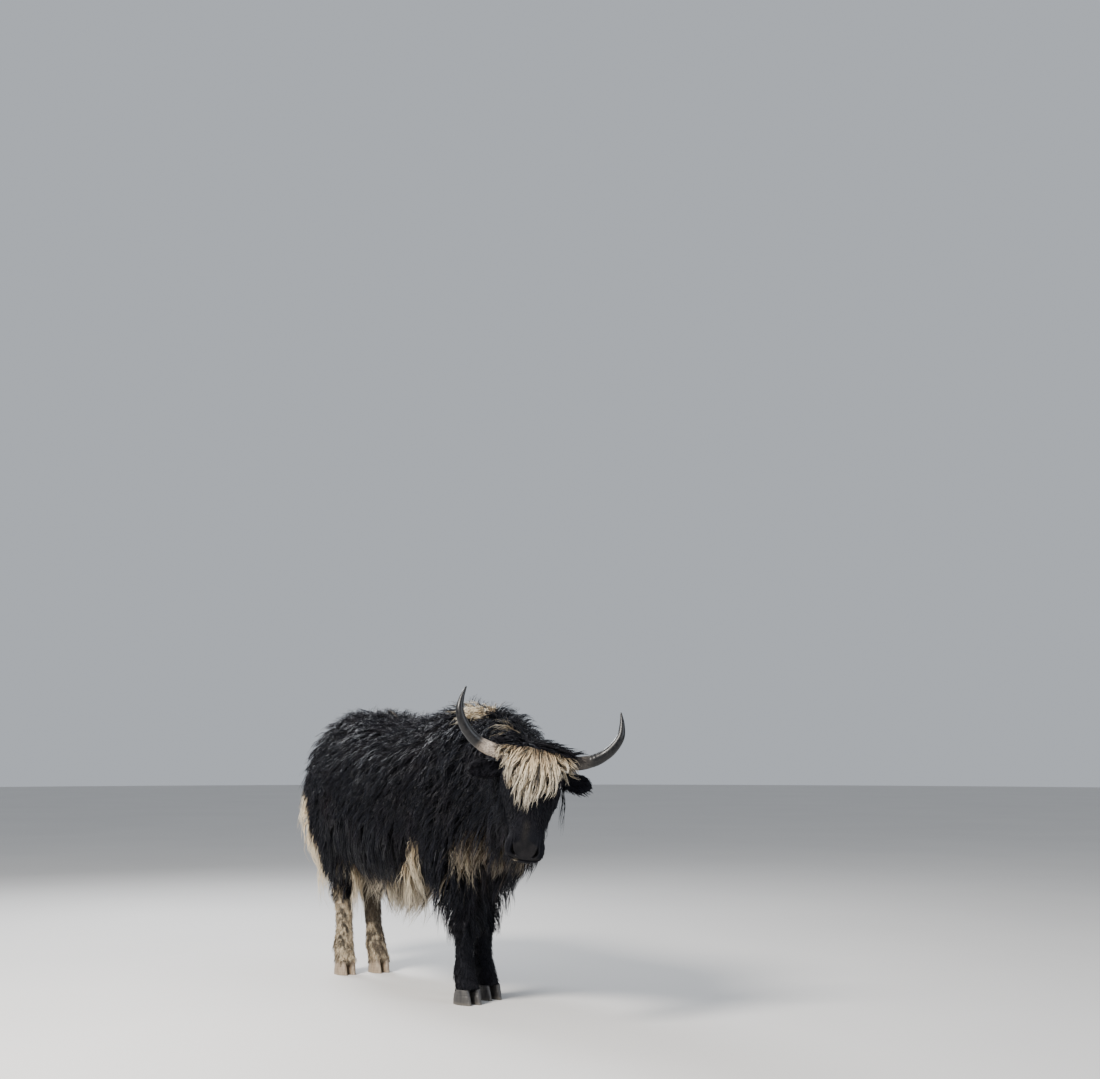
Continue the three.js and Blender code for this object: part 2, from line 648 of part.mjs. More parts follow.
for (const side of [1, -1]) {
  const name = side > 0 ? "left" : "right";
  const across = sideward(side);
  const [hornCut, earCut] = [outFrom(side, HORN_CUT), outFrom(side, EAR_CUT)];
  const horn = solid(hornForm(side).geometry());
  const earBody = solid(earForm(EAR, side).geometry());
  parts["horn_" + name] = farSide(horn, across, hornCut);
  parts["ear_" + name] = farSide(earBody.subtract(solid(earForm(CUP, side).geometry())), across, earCut);
  parts["eye_" + name] = ball(EYE.radius, eyePlace(side));
  stumps.push(nearSide(horn, across, hornCut), nearSide(earBody, across, earCut));
  sleeves.push(farSide(solid(hornForm(side, CLEAR).geometry()), across, hornCut - GAP));
  sleeves.push(farSide(solid(earForm(EAR, side, CLEAR).geometry()), across, earCut - GAP));
}

const tailSolid = solid(tail.geometry());
parts.tail = nearSide(tailSolid, X, TAIL_CUT);
stumps.push(farSide(tailSolid, X, TAIL_CUT));
sleeves.push(nearSide(solid(tailForm(CLEAR).geometry()), X, TAIL_CUT + GAP));

for (const name of names) {
  const foot = FEET[name];
  const joint = name.startsWith("fore") ? KNEE_CUT : HOCK_CUT;
  const leg = solid(legs[name].geometry());
  const free = nearSide(leg, Z, LEG_CUT);
  parts[name + "_upper"] = farSide(free, Z, joint);
  parts[name + "_lower"] = farSide(joined([nearSide(free, Z, joint), ...dewclaws(foot)]), Z, CORONET);
  parts[name + "_claw_left"] = claw(foot, 1);
  parts[name + "_claw_right"] = claw(foot, -1);
  stumps.push(farSide(leg, Z, LEG_CUT));
  sleeves.push(nearSide(solid(legForm(name, legRows(name), CLEAR).geometry()), Z, LEG_CUT + GAP));
}

// The body, coat and all, parted by the cuts
const eyeRoom = [1, -1].map((side) => ball(EYE.radius + EYE.lid + 2 * CLEAR, eyePlace(side)));
const hair = joined(headLocks.map((one) => lock(one, [head]))).subtract(joined(eyeRoom));
const coatLocks = coat.map((one) => lock(one, bodyForms));
const flesh = joined([solid(trunk.geometry()), solid(neck.geometry()), ...coatLocks, ...stumps]);
const snout = farSide(headSolid, noseward, nape);
const whole = joined([flesh.subtract(snout), skull, hair]).subtract(joined(sleeves));
parts.torso_rear = nearSide(whole, X, REAR_CUT);
parts.torso_middle = nearSide(farSide(whole, X, REAR_CUT), X, GIRTH_CUT);
parts.torso_front = nearSide(farSide(whole, X, GIRTH_CUT), X, NECK_CUT);
parts.neck = nearSide(farSide(whole, X, NECK_CUT), noseward, nape);
parts.head = farSide(whole, noseward, nape);

// Locks on the other parts, each one kept where it comes too close to nothing else
const TOUCH = 1e-6;
function furnish(name, list, form, others) {
  const clear = (one) => others.every((other) => lock(one, [form], CLEAR).intersect(other).volume() < TOUCH);
  parts[name] = joined([parts[name], ...list.filter(clear).map((one) => lock(one, [form]))]);
}
furnish("tail", tailLocks, tail, [whole]);
for (const side of [1, -1]) {
  const name = side > 0 ? "left" : "right";
  const form = earForm(EAR, side);
  furnish("ear_" + name, earLocks(form, side), form, [whole, parts["horn_" + name]]);
}
for (const name of names) {
  const { upper, lower } = legLocks(name);
  const twin = name.endsWith("left") ? name.replace("left", "right") : name.replace("right", "left");
  const near = [parts[twin + "_upper"], parts[twin + "_lower"]];
  const claws = [parts[name + "_claw_left"], parts[name + "_claw_right"]];
  furnish(name + "_upper", upper, legs[name], [whole, parts[name + "_lower"], ...near]);
  furnish(name + "_lower", lower, legs[name], [parts[name + "_upper"], ...claws, ...near]);
}

// The finished parts as meshes
const FINISHES = {
  coat: { color: 0x17171c, roughness: 0.9 },
  cream: { color: 0xb9a98c, roughness: 0.9 },
  horn: { color: 0x3a3a3c, roughness: 0.4 },
  hoof: { color: 0x3d3a38, roughness: 0.6 },
  eye: { color: 0x0b0908, roughness: 0.1 },
};
function finishOf(name) {
  if (name.startsWith("horn")) return "horn";
  if (name.startsWith("eye")) return "eye";
  if (name.includes("claw")) return "hoof";
  if (name === "tail" || name.startsWith("hindleg")) return "cream";
  return "coat";
}
const yak = new THREE.Group();
for (const [name, shape] of Object.entries(parts)) {
  const mesh = new THREE.Mesh(geometryOf(largest(shape)), new THREE.MeshStandardMaterial(FINISHES[finishOf(name)]));
  mesh.name = name;
  yak.add(mesh);
}

// The origin lies on the floor, under the middle of the whole
const middle = new THREE.Box3().setFromObject(yak).getCenter(point(0, 0, 0));
for (const mesh of yak.children) mesh.geometry.translate(-middle.x, -middle.y, 0);

export default yak;
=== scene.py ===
# %% [markdown]
# # A domestic yak, life size
# A museum model of a black and cream yak, standing with its head turned to its right. The solids of the
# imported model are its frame. This lesson dresses them: one skin over the flesh, long hair in tufts, horns,
# hooves, eyes. Everything is worked out by rules and numbers, so that one number can be changed and the yak
# made again.

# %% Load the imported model
import json
import math

import bmesh
import bpy
import numpy as np
from mathutils import Matrix, Vector
from mathutils.bvhtree import BVHTree
from mathutils.kdtree import KDTree

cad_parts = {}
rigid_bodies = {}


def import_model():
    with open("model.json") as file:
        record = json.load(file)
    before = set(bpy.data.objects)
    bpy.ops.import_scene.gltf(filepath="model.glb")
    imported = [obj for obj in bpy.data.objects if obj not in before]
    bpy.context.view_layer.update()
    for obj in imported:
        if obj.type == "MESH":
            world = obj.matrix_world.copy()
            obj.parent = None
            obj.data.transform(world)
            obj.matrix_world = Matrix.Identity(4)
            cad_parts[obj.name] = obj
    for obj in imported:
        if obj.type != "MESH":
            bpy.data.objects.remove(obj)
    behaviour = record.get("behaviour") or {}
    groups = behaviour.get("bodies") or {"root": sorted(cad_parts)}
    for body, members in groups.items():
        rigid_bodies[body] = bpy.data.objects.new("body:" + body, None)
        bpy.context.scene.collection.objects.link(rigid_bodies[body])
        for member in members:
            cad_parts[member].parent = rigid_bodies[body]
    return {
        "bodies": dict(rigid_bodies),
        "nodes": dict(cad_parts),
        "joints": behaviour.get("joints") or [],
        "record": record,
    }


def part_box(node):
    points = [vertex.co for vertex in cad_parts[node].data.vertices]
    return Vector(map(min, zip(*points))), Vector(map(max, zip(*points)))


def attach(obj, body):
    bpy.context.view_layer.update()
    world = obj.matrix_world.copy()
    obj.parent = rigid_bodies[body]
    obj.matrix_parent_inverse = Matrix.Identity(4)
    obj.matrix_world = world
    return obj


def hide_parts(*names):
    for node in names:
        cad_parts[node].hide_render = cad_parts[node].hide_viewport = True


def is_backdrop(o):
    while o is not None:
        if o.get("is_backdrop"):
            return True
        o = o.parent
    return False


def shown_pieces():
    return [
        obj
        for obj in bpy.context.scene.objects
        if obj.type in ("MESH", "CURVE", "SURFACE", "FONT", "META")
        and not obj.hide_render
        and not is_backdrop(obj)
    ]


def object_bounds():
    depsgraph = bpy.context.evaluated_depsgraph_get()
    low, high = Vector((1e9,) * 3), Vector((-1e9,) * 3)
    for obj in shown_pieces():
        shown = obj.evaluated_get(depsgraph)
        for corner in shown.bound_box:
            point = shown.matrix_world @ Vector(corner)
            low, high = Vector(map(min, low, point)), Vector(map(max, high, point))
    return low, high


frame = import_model()
cad_box = [list(corner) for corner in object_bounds()]
MM = 0.001
print("solids", len(frame["nodes"]), "box", [[round(v, 3) for v in corner] for corner in cad_box])

# %% [markdown]
# ## Where things are
# The animal was drawn in a frame of its own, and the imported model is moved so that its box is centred. The
# left eye, a ball, tells by how much. The head has a frame too, which runs down the face from between the
# horns: it makes a turned and tilted head as easy to shape as a straight one.

# %% The drawing's frame and the head's frame
POLL = Vector((1190, -110, 1110)) * MM
HEAD_YAW = -28
HEAD_ROLL = -9.5
FACE_PITCH = 56
yaw, roll, pitch = (math.radians(angle) for angle in (HEAD_YAW, HEAD_ROLL, FACE_PITCH))
face_turn = Matrix.Rotation(yaw, 4, "Z") @ Matrix.Rotation(roll, 4, "X")
face_frame = Matrix.Translation(POLL) @ face_turn
head_frame = face_frame @ Matrix.Rotation(pitch, 4, "Y")


def in_head(down, out, above):
    """A place given down the face, to its left and above it, in millimetres."""
    return head_frame @ (Vector((down, out, above)) * MM)


EYE_DOWN, EYE_OUT, EYE_ABOVE, EYE_RADIUS = 145, 104, 30, 19
low, high = (Vector(corner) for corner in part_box("eye_left"))
SHIFT = in_head(EYE_DOWN, EYE_OUT, EYE_ABOVE) - (low + high) / 2
print("drawing frame is off by", [round(v, 4) for v in SHIFT])

# %% [markdown]
# ## The camera
# The photograph's horizon lies below the middle of the picture, so the camera looks slightly up. Its
# height, its place and the length of the lens come from the four hooves on the ground. It is made first, so
# that every piece can be looked at from the right side.

# %% Camera
PHOTO_WIDE, PHOTO_TALL = 1100, 1079
HORIZON = 745
LENS_PIXELS = 1600
SENSOR = 36
CAMERA_PLACE = (6.9665, -3.9051, 1.16)
CAMERA_YAW = 90 - 33.86


def add_to_scene(name, data):
    """A new object in the scene, with this data."""
    obj = bpy.data.objects.new(name, data)
    bpy.context.collection.objects.link(obj)
    return obj


camera_data = bpy.data.cameras.new("camera")
camera_data.sensor_width = SENSOR
camera_data.lens = SENSOR * LENS_PIXELS / PHOTO_WIDE
camera_data.clip_end = 200
camera = add_to_scene("camera", camera_data)
look_up = math.atan((HORIZON - PHOTO_TALL / 2) / LENS_PIXELS)
camera.location = Vector(CAMERA_PLACE) - SHIFT
camera.rotation_euler = (math.radians(90) + look_up, 0, math.radians(CAMERA_YAW))
bpy.context.scene.camera = camera
print("camera at", [round(v, 3) for v in camera.location], "lens", round(camera_data.lens, 2))

# %% [markdown]
# ## Smooth lines
# Nothing on an animal is straight. A curve object would give smooth lines too, but a rule for one can be
# asked for any place at once, and works for sizes as well as for places. This one is a centripetal spline:
# it goes through every point that it is given and makes no loops where points lie close together.

# %% Smooth lines
def smooth_line(points, shares):
    """Places on a smooth line through the points, at shares of the way from 0 to 1."""
    p = np.asarray(points, float)
    p = np.vstack([2 * p[0] - p[1], p, 2 * p[-1] - p[-2]])
    at = np.clip(np.asarray(shares, float), 0, 1) * (len(p) - 3)
    i = np.minimum(at.astype(int), len(p) - 4)
    t = (at - i)[:, None]
    a, b, c, d = p[i], p[i + 1], p[i + 2], p[i + 3]
    gap = [np.maximum(((v - u) ** 2).sum(1), 1e-16)[:, None] ** 0.25 for u, v in ((a, b), (b, c), (c, d))]
    gap[0] = np.where(gap[0] < 1e-4, gap[1], gap[0])
    gap[2] = np.where(gap[2] < 1e-4, gap[1], gap[2])
    start = ((b - a) / gap[0] - (c - a) / (gap[0] + gap[1]) + (c - b) / gap[1]) * gap[1]
    end = ((c - b) / gap[1] - (d - b) / (gap[1] + gap[2]) + (d - c) / gap[2]) * gap[1]
    return b + start * t + (3 * (c - b) - 2 * start - end) * t**2 + (2 * (b - c) + start + end) * t**3


def unit(v):
    return v / np.maximum(np.linalg.norm(v, axis=-1, keepdims=True), 1e-12)


print("half way on a line through 0, 1 and 4:", smooth_line([[0], [1], [4]], [0.5]).ravel())

# %% [markdown]
# ## Tubes
# A body is a set of bent tubes: a trunk, a neck, four legs. Each one is given by a few oval sections, and a
# smooth line runs through them. A section is a little squarer than an ellipse, as flesh over bone is.

# %% Oval tubes
class Tube:
    """Oval sections along a smooth line. A row is a place, half-width, height above and below, in mm."""

    def __init__(self, rows, up=(0, 0, 1), square=2.2, domes=(0, 0), frame=Matrix()):
        turn = np.array(frame)
        self.places = np.array([row[0] for row in rows], float) * MM @ turn[:3, :3].T + turn[:3, 3]
        self.sizes = np.array([row[1:] for row in rows], float) * MM
        self.up, self.square = turn[:3, :3] @ np.array(up, float), square
        self.domes = [d * MM for d in domes]

    def at(self, shares):
        before, middle, after = (smooth_line(self.places, shares + step) for step in (-1e-4, 0, 1e-4))
        along = unit(after - before)
        side = unit(np.cross(self.up, along))
        return middle, along, side, np.cross(along, side), smooth_line(self.sizes, shares)

    def surface(self, shares, angles, full=None, shift=None):
        """Places on the tube at angles from its left side over its top."""
        middle, along, side, over, size = self.at(shares)
        full = np.ones(len(shares)) if full is None else full
        bend = lambda v: np.sign(v) * np.abs(v) ** (2 / self.square)
        across = bend(np.cos(angles)) * size[:, 0] * full
        tall = bend(np.sin(angles))
        high = tall * np.where(tall > 0, size[:, 1], size[:, 2]) * full
        place = middle + side * across[:, None] + over * high[:, None]
        return place if shift is None else place + along * shift[:, None]


test = Tube([((0, 0, 0), 10, 20, 20), ((0, 0, 90), 30, 40, 40)], up=(1, 0, 0))
print("half-width and heights half way along a test tube, in metres", test.at(np.array([0.5]))[4])

# %% [markdown]
# ## From tubes to objects
# A grid of faces is bent round each tube, its long edges are merged, and its ends are drawn in to a point.
# One grid stands for one tube, which keeps the mesh even and easy to smooth. Grids of several tubes can be
# put in one bmesh, Blender's mesh for editing, before it becomes an object.

# %% From tubes to objects
def add_tube(bm, tube, sides, rings, caps=6):
    """Adds a closed tube to a bmesh, as a grid bent round it."""
    arc = np.radians(np.linspace(90, 0, caps + 1))[:-1]
    shares = np.concatenate([np.zeros(caps), np.linspace(0, 1, rings + 1), np.ones(caps)])
    full = np.concatenate([np.cos(arc), np.ones(rings + 1), np.cos(arc[::-1])])
    start, end = tube.domes
    shift = np.concatenate([-start * np.sin(arc), np.zeros(rings + 1), end * np.sin(arc[::-1])])
    levels = len(shares) - 1
    grid = bmesh.ops.create_grid(bm, x_segments=sides, y_segments=levels, size=0.5)["verts"]
    turn = np.array([round((v.co.x + 0.5) * sides) for v in grid])
    level = np.array([round((v.co.y + 0.5) * levels) for v in grid])
    places = tube.surface(shares[level], 2 * math.pi * turn / sides, full[level], shift[level])
    for v, place in zip(grid, places):
        v.co = place
    bmesh.ops.remove_doubles(bm, verts=grid, dist=1e-6)


def new_object(name, bm):
    """A bmesh in the drawing's frame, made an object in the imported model's frame."""
    bmesh.ops.recalc_face_normals(bm, faces=bm.faces)
    bmesh.ops.translate(bm, verts=bm.verts, vec=-SHIFT)
    mesh = bpy.data.meshes.new(name)
    bm.to_mesh(mesh)
    bm.free()
    mesh.shade_smooth()
    return add_to_scene(name, mesh)


def apply_modifiers(obj):
    """Puts the result of an object's modifiers in its mesh."""
    graph = bpy.context.evaluated_depsgraph_get()
    mesh = bpy.data.meshes.new_from_object(obj.evaluated_get(graph))
    obj.modifiers.clear()
    obj.data = mesh
    mesh.shade_smooth()


# %% [markdown]
# ## The body's measures
# These rows are the animal's skin, without its coat, in millimetres: down the trunk from the rump, up the
# neck, and down each leg. The photograph gives the outline, the stance and the turn of the head. The far
# side and the parts under the hair follow the build of the species.

# %% Trunk, neck and legs
TRUNK = [  # forward, height of the back, height of the belly and half-width
    (-815, 1185, 790, 150),
    (-715, 1278, 680, 240),
    (-540, 1300, 630, 282),
    (-250, 1282, 590, 292),
    (50, 1242, 562, 300),
    (300, 1264, 572, 276),
    (550, 1316, 590, 238),
    (720, 1294, 620, 200),
    (820, 1205, 690, 150),
]
NECK = [  # place, half-width, height above and below
    ((560, 0, 1000), 170, 275, 280),
    ((760, -5, 990), 155, 288, 270),
    ((930, -25, 985), 128, 240, 230),
    ((1080, -65, 990), 125, 172, 170),
    ((1170, -115, 1010), 105, 105, 110),
]
FORE = [  # height, forward, outward, half-width, and how far it reaches forward and back
    (900, 20, 60, 80, 120, 120),
    (760, -10, 52, 88, 115, 125),
    (620, -25, 36, 74, 86, 96),
    (500, -18, 20, 58, 60, 66),
    (400, -10, 8, 49, 49, 49),
    (345, -8, 4, 50, 51, 47),
    (280, -12, 2, 41, 40, 42),
    (190, -18, 0, 39, 38, 40),
    (135, -16, 0, 47, 46, 48),
    (95, -7, 0, 45, 48, 44),
    (54, 2, 0, 54, 60, 50),
]
HIND = [  # the same for a hind leg
    (1000, 60, 70, 90, 150, 160),
    (820, 40, 80, 100, 165, 170),
    (680, 10, 58, 84, 140, 130),
    (580, -30, 30, 58, 92, 82),
    (500, -62, 10, 48, 62, 62),
    (455, -66, 4, 48, 56, 56),
    (380, -54, 2, 42, 46, 46),
    (240, -34, 0, 38, 40, 40),
    (140, -22, 0, 47, 46, 48),
    (98, -10, 0, 45, 47, 44),
    (54, 2, 0, 54, 60, 48),
]
FEET = {  # forward, to the left, how far the leg leans out, size of the hoof, and rows
    "foreleg_right": (575, -68, 4, 1.0, FORE),
    "foreleg_left": (500, 86, -22, 1.0, FORE),
    "hindleg_right": (-590, -98, -15, 0.88, HIND),
    "hindleg_left": (-562, 82, -18, 0.88, HIND),
}
TAIL = [  # place and radius
    ((-760, 0, 1120), 44),
    ((-860, -12, 1118), 42),
    ((-935, -35, 1060), 38),
    ((-965, -62, 950), 36),
    ((-968, -82, 820), 34),
    ((-958, -84, 700), 24),
]
CORONET = 66
LEG_TOP = 520


def trunk_tube():
    rows = []
    for x, top, bottom, half in TRUNK:
        middle = bottom + (top - bottom) * 0.45
        rows.append(((x, 0, middle), half, top - middle, middle - bottom))
    return Tube(rows, domes=(55, 45))


def leg_tube(name):
    x, y, lean, _, rows = FEET[name]
    out = math.copysign(1, y)
    made = []
    for z, forward, outward, half, fore, aft in rows:
        leaning = lean * min(max(2 * (z - CORONET) / (LEG_TOP - CORONET), 0), 1)
        made.append(((x + forward, y + out * (outward + leaning), z), half, fore, aft))
    return Tube(made, up=(1, 0, 0))


print("rows of the trunk, neck and tail", len(TRUNK), len(NECK), len(TAIL))

# %% [markdown]
# ## One skin for the body
# The tubes overlap like pieces of modelling clay. A voxel remesh melts them into one closed surface, and a
# smoothing pass rounds the creases where the legs and neck meet the trunk, as muscle and hide do. Joining
# the tubes with Booleans would keep them sharper, but would leave those creases.

# %% The skin of the body
def melt(obj, voxel, passes):
    """Melts the forms of an object into one closed surface and smooths it."""
    remesh = obj.modifiers.new("melt", "REMESH")
    remesh.mode = "VOXEL"
    remesh.voxel_size = voxel
    soften = obj.modifiers.new("soften", "SMOOTH")
    soften.factor = 0.5
    soften.iterations = passes
    apply_modifiers(obj)


bm = bmesh.new()
add_tube(bm, trunk_tube(), 56, 60)
add_tube(bm, Tube(NECK, square=2.4), 48, 30)
for leg in FEET:
    add_tube(bm, leg_tube(leg), 32, 60)
add_tube(bm, Tube([(place, r, r, r) for place, r in TAIL], up=(0, 1, 0), square=2, domes=(0, 20)), 20, 40)
skin = new_object("body_skin", bm)
melt(skin, 0.011, 8)
print("body skin", len(skin.data.polygons), "faces")

# %% [markdown]
# ## The face and ears
# The head is one tube that runs down the face, with an ear on each side and a woolly crest that reaches
# from horn to horn and over their roots. Each ear is a flat tube that a smaller one hollows out in front,
# as a Boolean cut. All are then melted together with a finer voxel size than the body's, because lids, lips
# and nostrils need small faces to be shaped from.

# %% Head and ears
HEAD = [  # down the face, half-width, height above and below
    (-50, 78, 22, 100),
    (15, 106, 55, 145),
    (80, 122, 70, 168),
    (145, 124, 72, 174),
    (215, 106, 62, 164),
    (280, 82, 54, 134),
    (345, 70, 46, 102),
    (405, 71, 42, 86),
    (450, 78, 39, 80),
    (468, 77, 35, 74),
]
EAR = [  # out, forward, up, half the thickness and half the height
    (70, -30, -62, 16, 20),
    (130, -34, -72, 15, 27),
    (178, -37, -80, 15, 39),
    (214, -37, -84, 14, 41),
    (243, -35, -87, 11, 34),
    (262, -34, -89, 7, 19),
]
CUP = [(140, -20, -73, 6, 13), (178, -20, -80, 10, 27), (218, -22, -86, 9, 30), (248, -22, -88, 6, 16)]
CREST = [  # out, forward, up, half-width, height above and below
    (-142, 2, 4, 33, 30, 30),
    (-85, 8, 20, 38, 30, 42),
    (0, 10, 28, 40, 28, 42),
    (85, 8, 20, 38, 30, 42),
    (142, 2, 4, 33, 30, 30),
]


def ear_tube(rows, side):
    made = [((fore, side * out, high), thick, tall, tall) for out, fore, high, thick, tall in rows]
    return Tube(made, square=2, domes=(0, 8), frame=face_frame)


def pair_of_ears(name, rows, sides, rings):
    bm = bmesh.new()
    for side in (1, -1):
        add_tube(bm, ear_tube(rows, side), sides, rings)
    return new_object(name, bm)


ears, cups = pair_of_ears("ears", EAR, 32, 40), pair_of_ears("ear_cups", CUP, 24, 24)
hollow = ears.modifiers.new("hollow", "BOOLEAN")
hollow.object, hollow.operation = cups, "DIFFERENCE"
apply_modifiers(ears)
bm = bmesh.new()
rows = [((down, 0, 0), half, above, below) for down, half, above, below in HEAD]
add_tube(bm, Tube(rows, square=2.5, domes=(20, 28), frame=head_frame), 56, 60)
rows = [((fore, out, high), *size) for out, fore, high, *size in CREST]
add_tube(bm, Tube(rows, square=2, domes=(8, 8), frame=face_frame), 32, 40)
bmesh.ops.translate(bm, verts=bm.verts, vec=-SHIFT)
bm.from_mesh(ears.data)
bmesh.ops.translate(bm, verts=bm.verts, vec=SHIFT)
for made in (ears, cups):
    bpy.data.objects.remove(made)
face = new_object("face_skin", bm)
melt(face, 0.0038, 6)
print("face skin", len(face.data.polygons), "faces")

# %% [markdown]
# ## Small faces for small forms
# Sculpting in code means moving points by rules, and a rule needs points close enough together. The edges
# round the eyes, the nostrils and the mouth are split once. Splitting all of them would only make the mesh
# heavier.

# %% Points of a mesh, and finer faces
MOUTH = {"corner": 385, "front": 490, "level": -20, "drop": 20}
NOSTRIL = {"down": 450, "out": 49, "above": 12, "half": 8.5, "tall": 18, "deep": 22}
to_head = np.array(head_frame.inverted())
from_head = np.array(head_frame)


def smooth_step(low, high, value):
    t = np.clip((value - low) / (high - low), 0, 1)
    return t * t * (3 - 2 * t)


def bell(value, middle, reach):
    """A soft bump: 1 at the middle, and nearly 0 at twice the reach."""
    return np.exp(-(((value - middle) / reach) ** 2))


def move(matrix, points):
    return points @ matrix[:3, :3].T + matrix[:3, 3]


def read_rows(items, name, wide=3, kind=float):
    """Reads one property of all items at once, in rows."""
    flat = np.empty(len(items) * wide, kind)
    items.foreach_get(name, flat)
    return flat.reshape(-1, wide)


def places_of(mesh):
    """A mesh's points in the drawing's frame."""
    return read_rows(mesh.vertices, "co") + np.array(SHIFT)


def place_points(mesh, places):
    mesh.vertices.foreach_set("co", (places - np.array(SHIFT)).ravel())
    mesh.update()


def normals_of(mesh):
    return read_rows(mesh.vertex_normals, "vector")


def mirrored(head):
    """The same places in the head's frame, all brought to its left side."""
    return np.c_[head[:, 0], np.abs(head[:, 1]), head[:, 2]]


def mouth_level(down):
    t = np.clip((down - MOUTH["corner"]) / (MOUTH["front"] - MOUTH["corner"]), 0, 1)
    return MOUTH["level"] - MOUTH["drop"] * (1 - t) ** 1.5


def near_detail(places):
    half = mirrored(move(to_head, places) / MM)
    eye = np.linalg.norm(half - (EYE_DOWN, EYE_OUT + 15, EYE_ABOVE), axis=1) < 36
    nose = np.linalg.norm(half - (NOSTRIL["down"], NOSTRIL["out"], NOSTRIL["above"]), axis=1) < 30
    mouth = (half[:, 0] > MOUTH["corner"] - 12) & (np.abs(half[:, 2] - mouth_level(half[:, 0])) < 14)
    return eye | nose | mouth


def refine(obj, wanted):
    """Splits the edges whose both ends lie where more detail is wanted."""
    bm = bmesh.new()
    bm.from_mesh(obj.data)
    chosen = wanted(places_of(obj.data))
    bm.edges.ensure_lookup_table()
    edges = [e for e in bm.edges if chosen[e.verts[0].index] and chosen[e.verts[1].index]]
    bmesh.ops.subdivide_edges(bm, edges=edges, cuts=1, use_grid_fill=True)
    bm.to_mesh(obj.data)
    bm.free()


refine(face, near_detail)
print("face with finer lids and lips", len(face.data.polygons), "faces")

# %% [markdown]
# ## Cheek, jaw and nose
# A tube has no cheekbones. Soft round bumps, the same on both sides, raise the brow, the cheek, the jaw and
# the muzzle and hollow the temple. The nose pad slopes forward from the bridge to the upper lip, as a soft-
# edged plane. The mouth is a groove between two rolls, and each nostril is a comma that sinks along its own
# axis.

# %% Broad forms, mouth and nostrils
BUMPS = [  # place in the head's frame, reach and height
    ((112, 96, 50), 30, 6),
    ((190, 98, 12), 26, -5),
    ((150, 118, -75), 62, 6),
    ((225, 92, -18), 22, 4),
    ((275, 80, -12), 22, 4),
    ((322, 70, -8), 22, 3),
    ((436, 66, 4), 24, 7),
    ((440, 0, -84), 34, 7),
    ((330, 22, 52), 20, 2),
    ((250, 24, 60), 24, 3),
    ((400, 0, 44), 22, -2),
]
PAD = {"down": 484, "above": -16, "slope": math.radians(54), "soft": 9}
NOSTRIL_TURN = math.radians(35)


def shape_forms(head, out):
    half = mirrored(head)
    for centre, reach, height in BUMPS:
        head = head + out * (height * bell(np.linalg.norm(half - centre, axis=1), 0, reach))[:, None]
    return head


def shape_pad(head):
    wide, tall = math.cos(PAD["slope"]), math.sin(PAD["slope"])
    over = (head[:, 0] - PAD["down"]) * wide + (head[:, 2] - PAD["above"]) * tall
    over = np.logaddexp(0, over / PAD["soft"]) * PAD["soft"] * smooth_step(370, 400, head[:, 0])
    return head - over[:, None] * (wide, 0, tall)


def shape_mouth(head, half, out):
    off = half[:, 2] - mouth_level(half[:, 0])
    open_here = smooth_step(MOUTH["corner"] - 10, MOUTH["corner"] + 12, half[:, 0]) * (half[:, 2] < 20)
    groove_and_rolls = -9 * bell(off, 0, 3.0) + 3.6 * bell(np.abs(off), 9, 6)
    return head + out * (groove_and_rolls * open_here)[:, None]


def shape_nostrils(head, half, out, side):
    across = half[:, 1] - NOSTRIL["out"]
    high = half[:, 2] - NOSTRIL["above"]
    long_way = across * math.sin(NOSTRIL_TURN) + high * math.cos(NOSTRIL_TURN)
    wide_way = across * math.cos(NOSTRIL_TURN) - high * math.sin(NOSTRIL_TURN) + 0.018 * long_way**2
    ring = np.hypot(wide_way / NOSTRIL["half"], long_way / NOSTRIL["tall"])
    front = half[:, 0] > NOSTRIL["down"] - 40
    sink = NOSTRIL["deep"] * np.sqrt(np.clip(1 - ring**2, 0, 1)) * front
    rim = 3.0 * bell(ring, 1.35, 0.25) * front
    return head - np.c_[sink * 0.75, side * sink * 0.3, sink * 0.55] + out * rim[:, None]


print("forms of the face", len(BUMPS))

# %% [markdown]
# ## Lids
# Lids lie on the eyeball, so the skin near each eye follows a ball a little larger than it. Inside an
# almond-shaped opening the skin sinks behind the eyeball. The edge of the lid is raised and a fold runs
# round it. All the rules of the face are then worked out at once for all of its points.

# %% Lids, and the whole face
LID_TILT = math.radians(12)
LID_LONG, LID_TALL = 17, 10


def shape_lids(head, side):
    half = mirrored(head)
    centre = (EYE_DOWN, EYE_OUT, EYE_ABOVE)
    r = half - centre
    along = r[:, 0] * math.cos(LID_TILT) - r[:, 2] * math.sin(LID_TILT)
    tall = r[:, 0] * math.sin(LID_TILT) + r[:, 2] * math.cos(LID_TILT) - 1
    opening = LID_TALL * np.sqrt(np.clip(1 - (along / LID_LONG) ** 2, 0, 1)) ** 1.3
    past_corner = np.hypot(np.abs(along) - LID_LONG, tall)
    beyond = np.where(np.abs(along) < LID_LONG, np.abs(tall) - opening, past_corner)
    outer = (r[:, 1] > 0) & (np.abs(r[:, 0]) < 46) & (np.abs(r[:, 2]) < 46)
    lid = EYE_RADIUS + 2.6 + 1.2 * bell(beyond, 3, 2.5) - 1.6 * bell(beyond, 8, 2)
    target = unit(r) * np.where(beyond < 0, EYE_RADIUS - 3, lid)[:, None] + centre
    hold = ((1 - smooth_step(5, 17, beyond)) * outer)[:, None]
    half = half * (1 - hold) + target * hold
    return np.where(outer[:, None], half * np.c_[np.ones(len(side)), side, np.ones(len(side))], head)


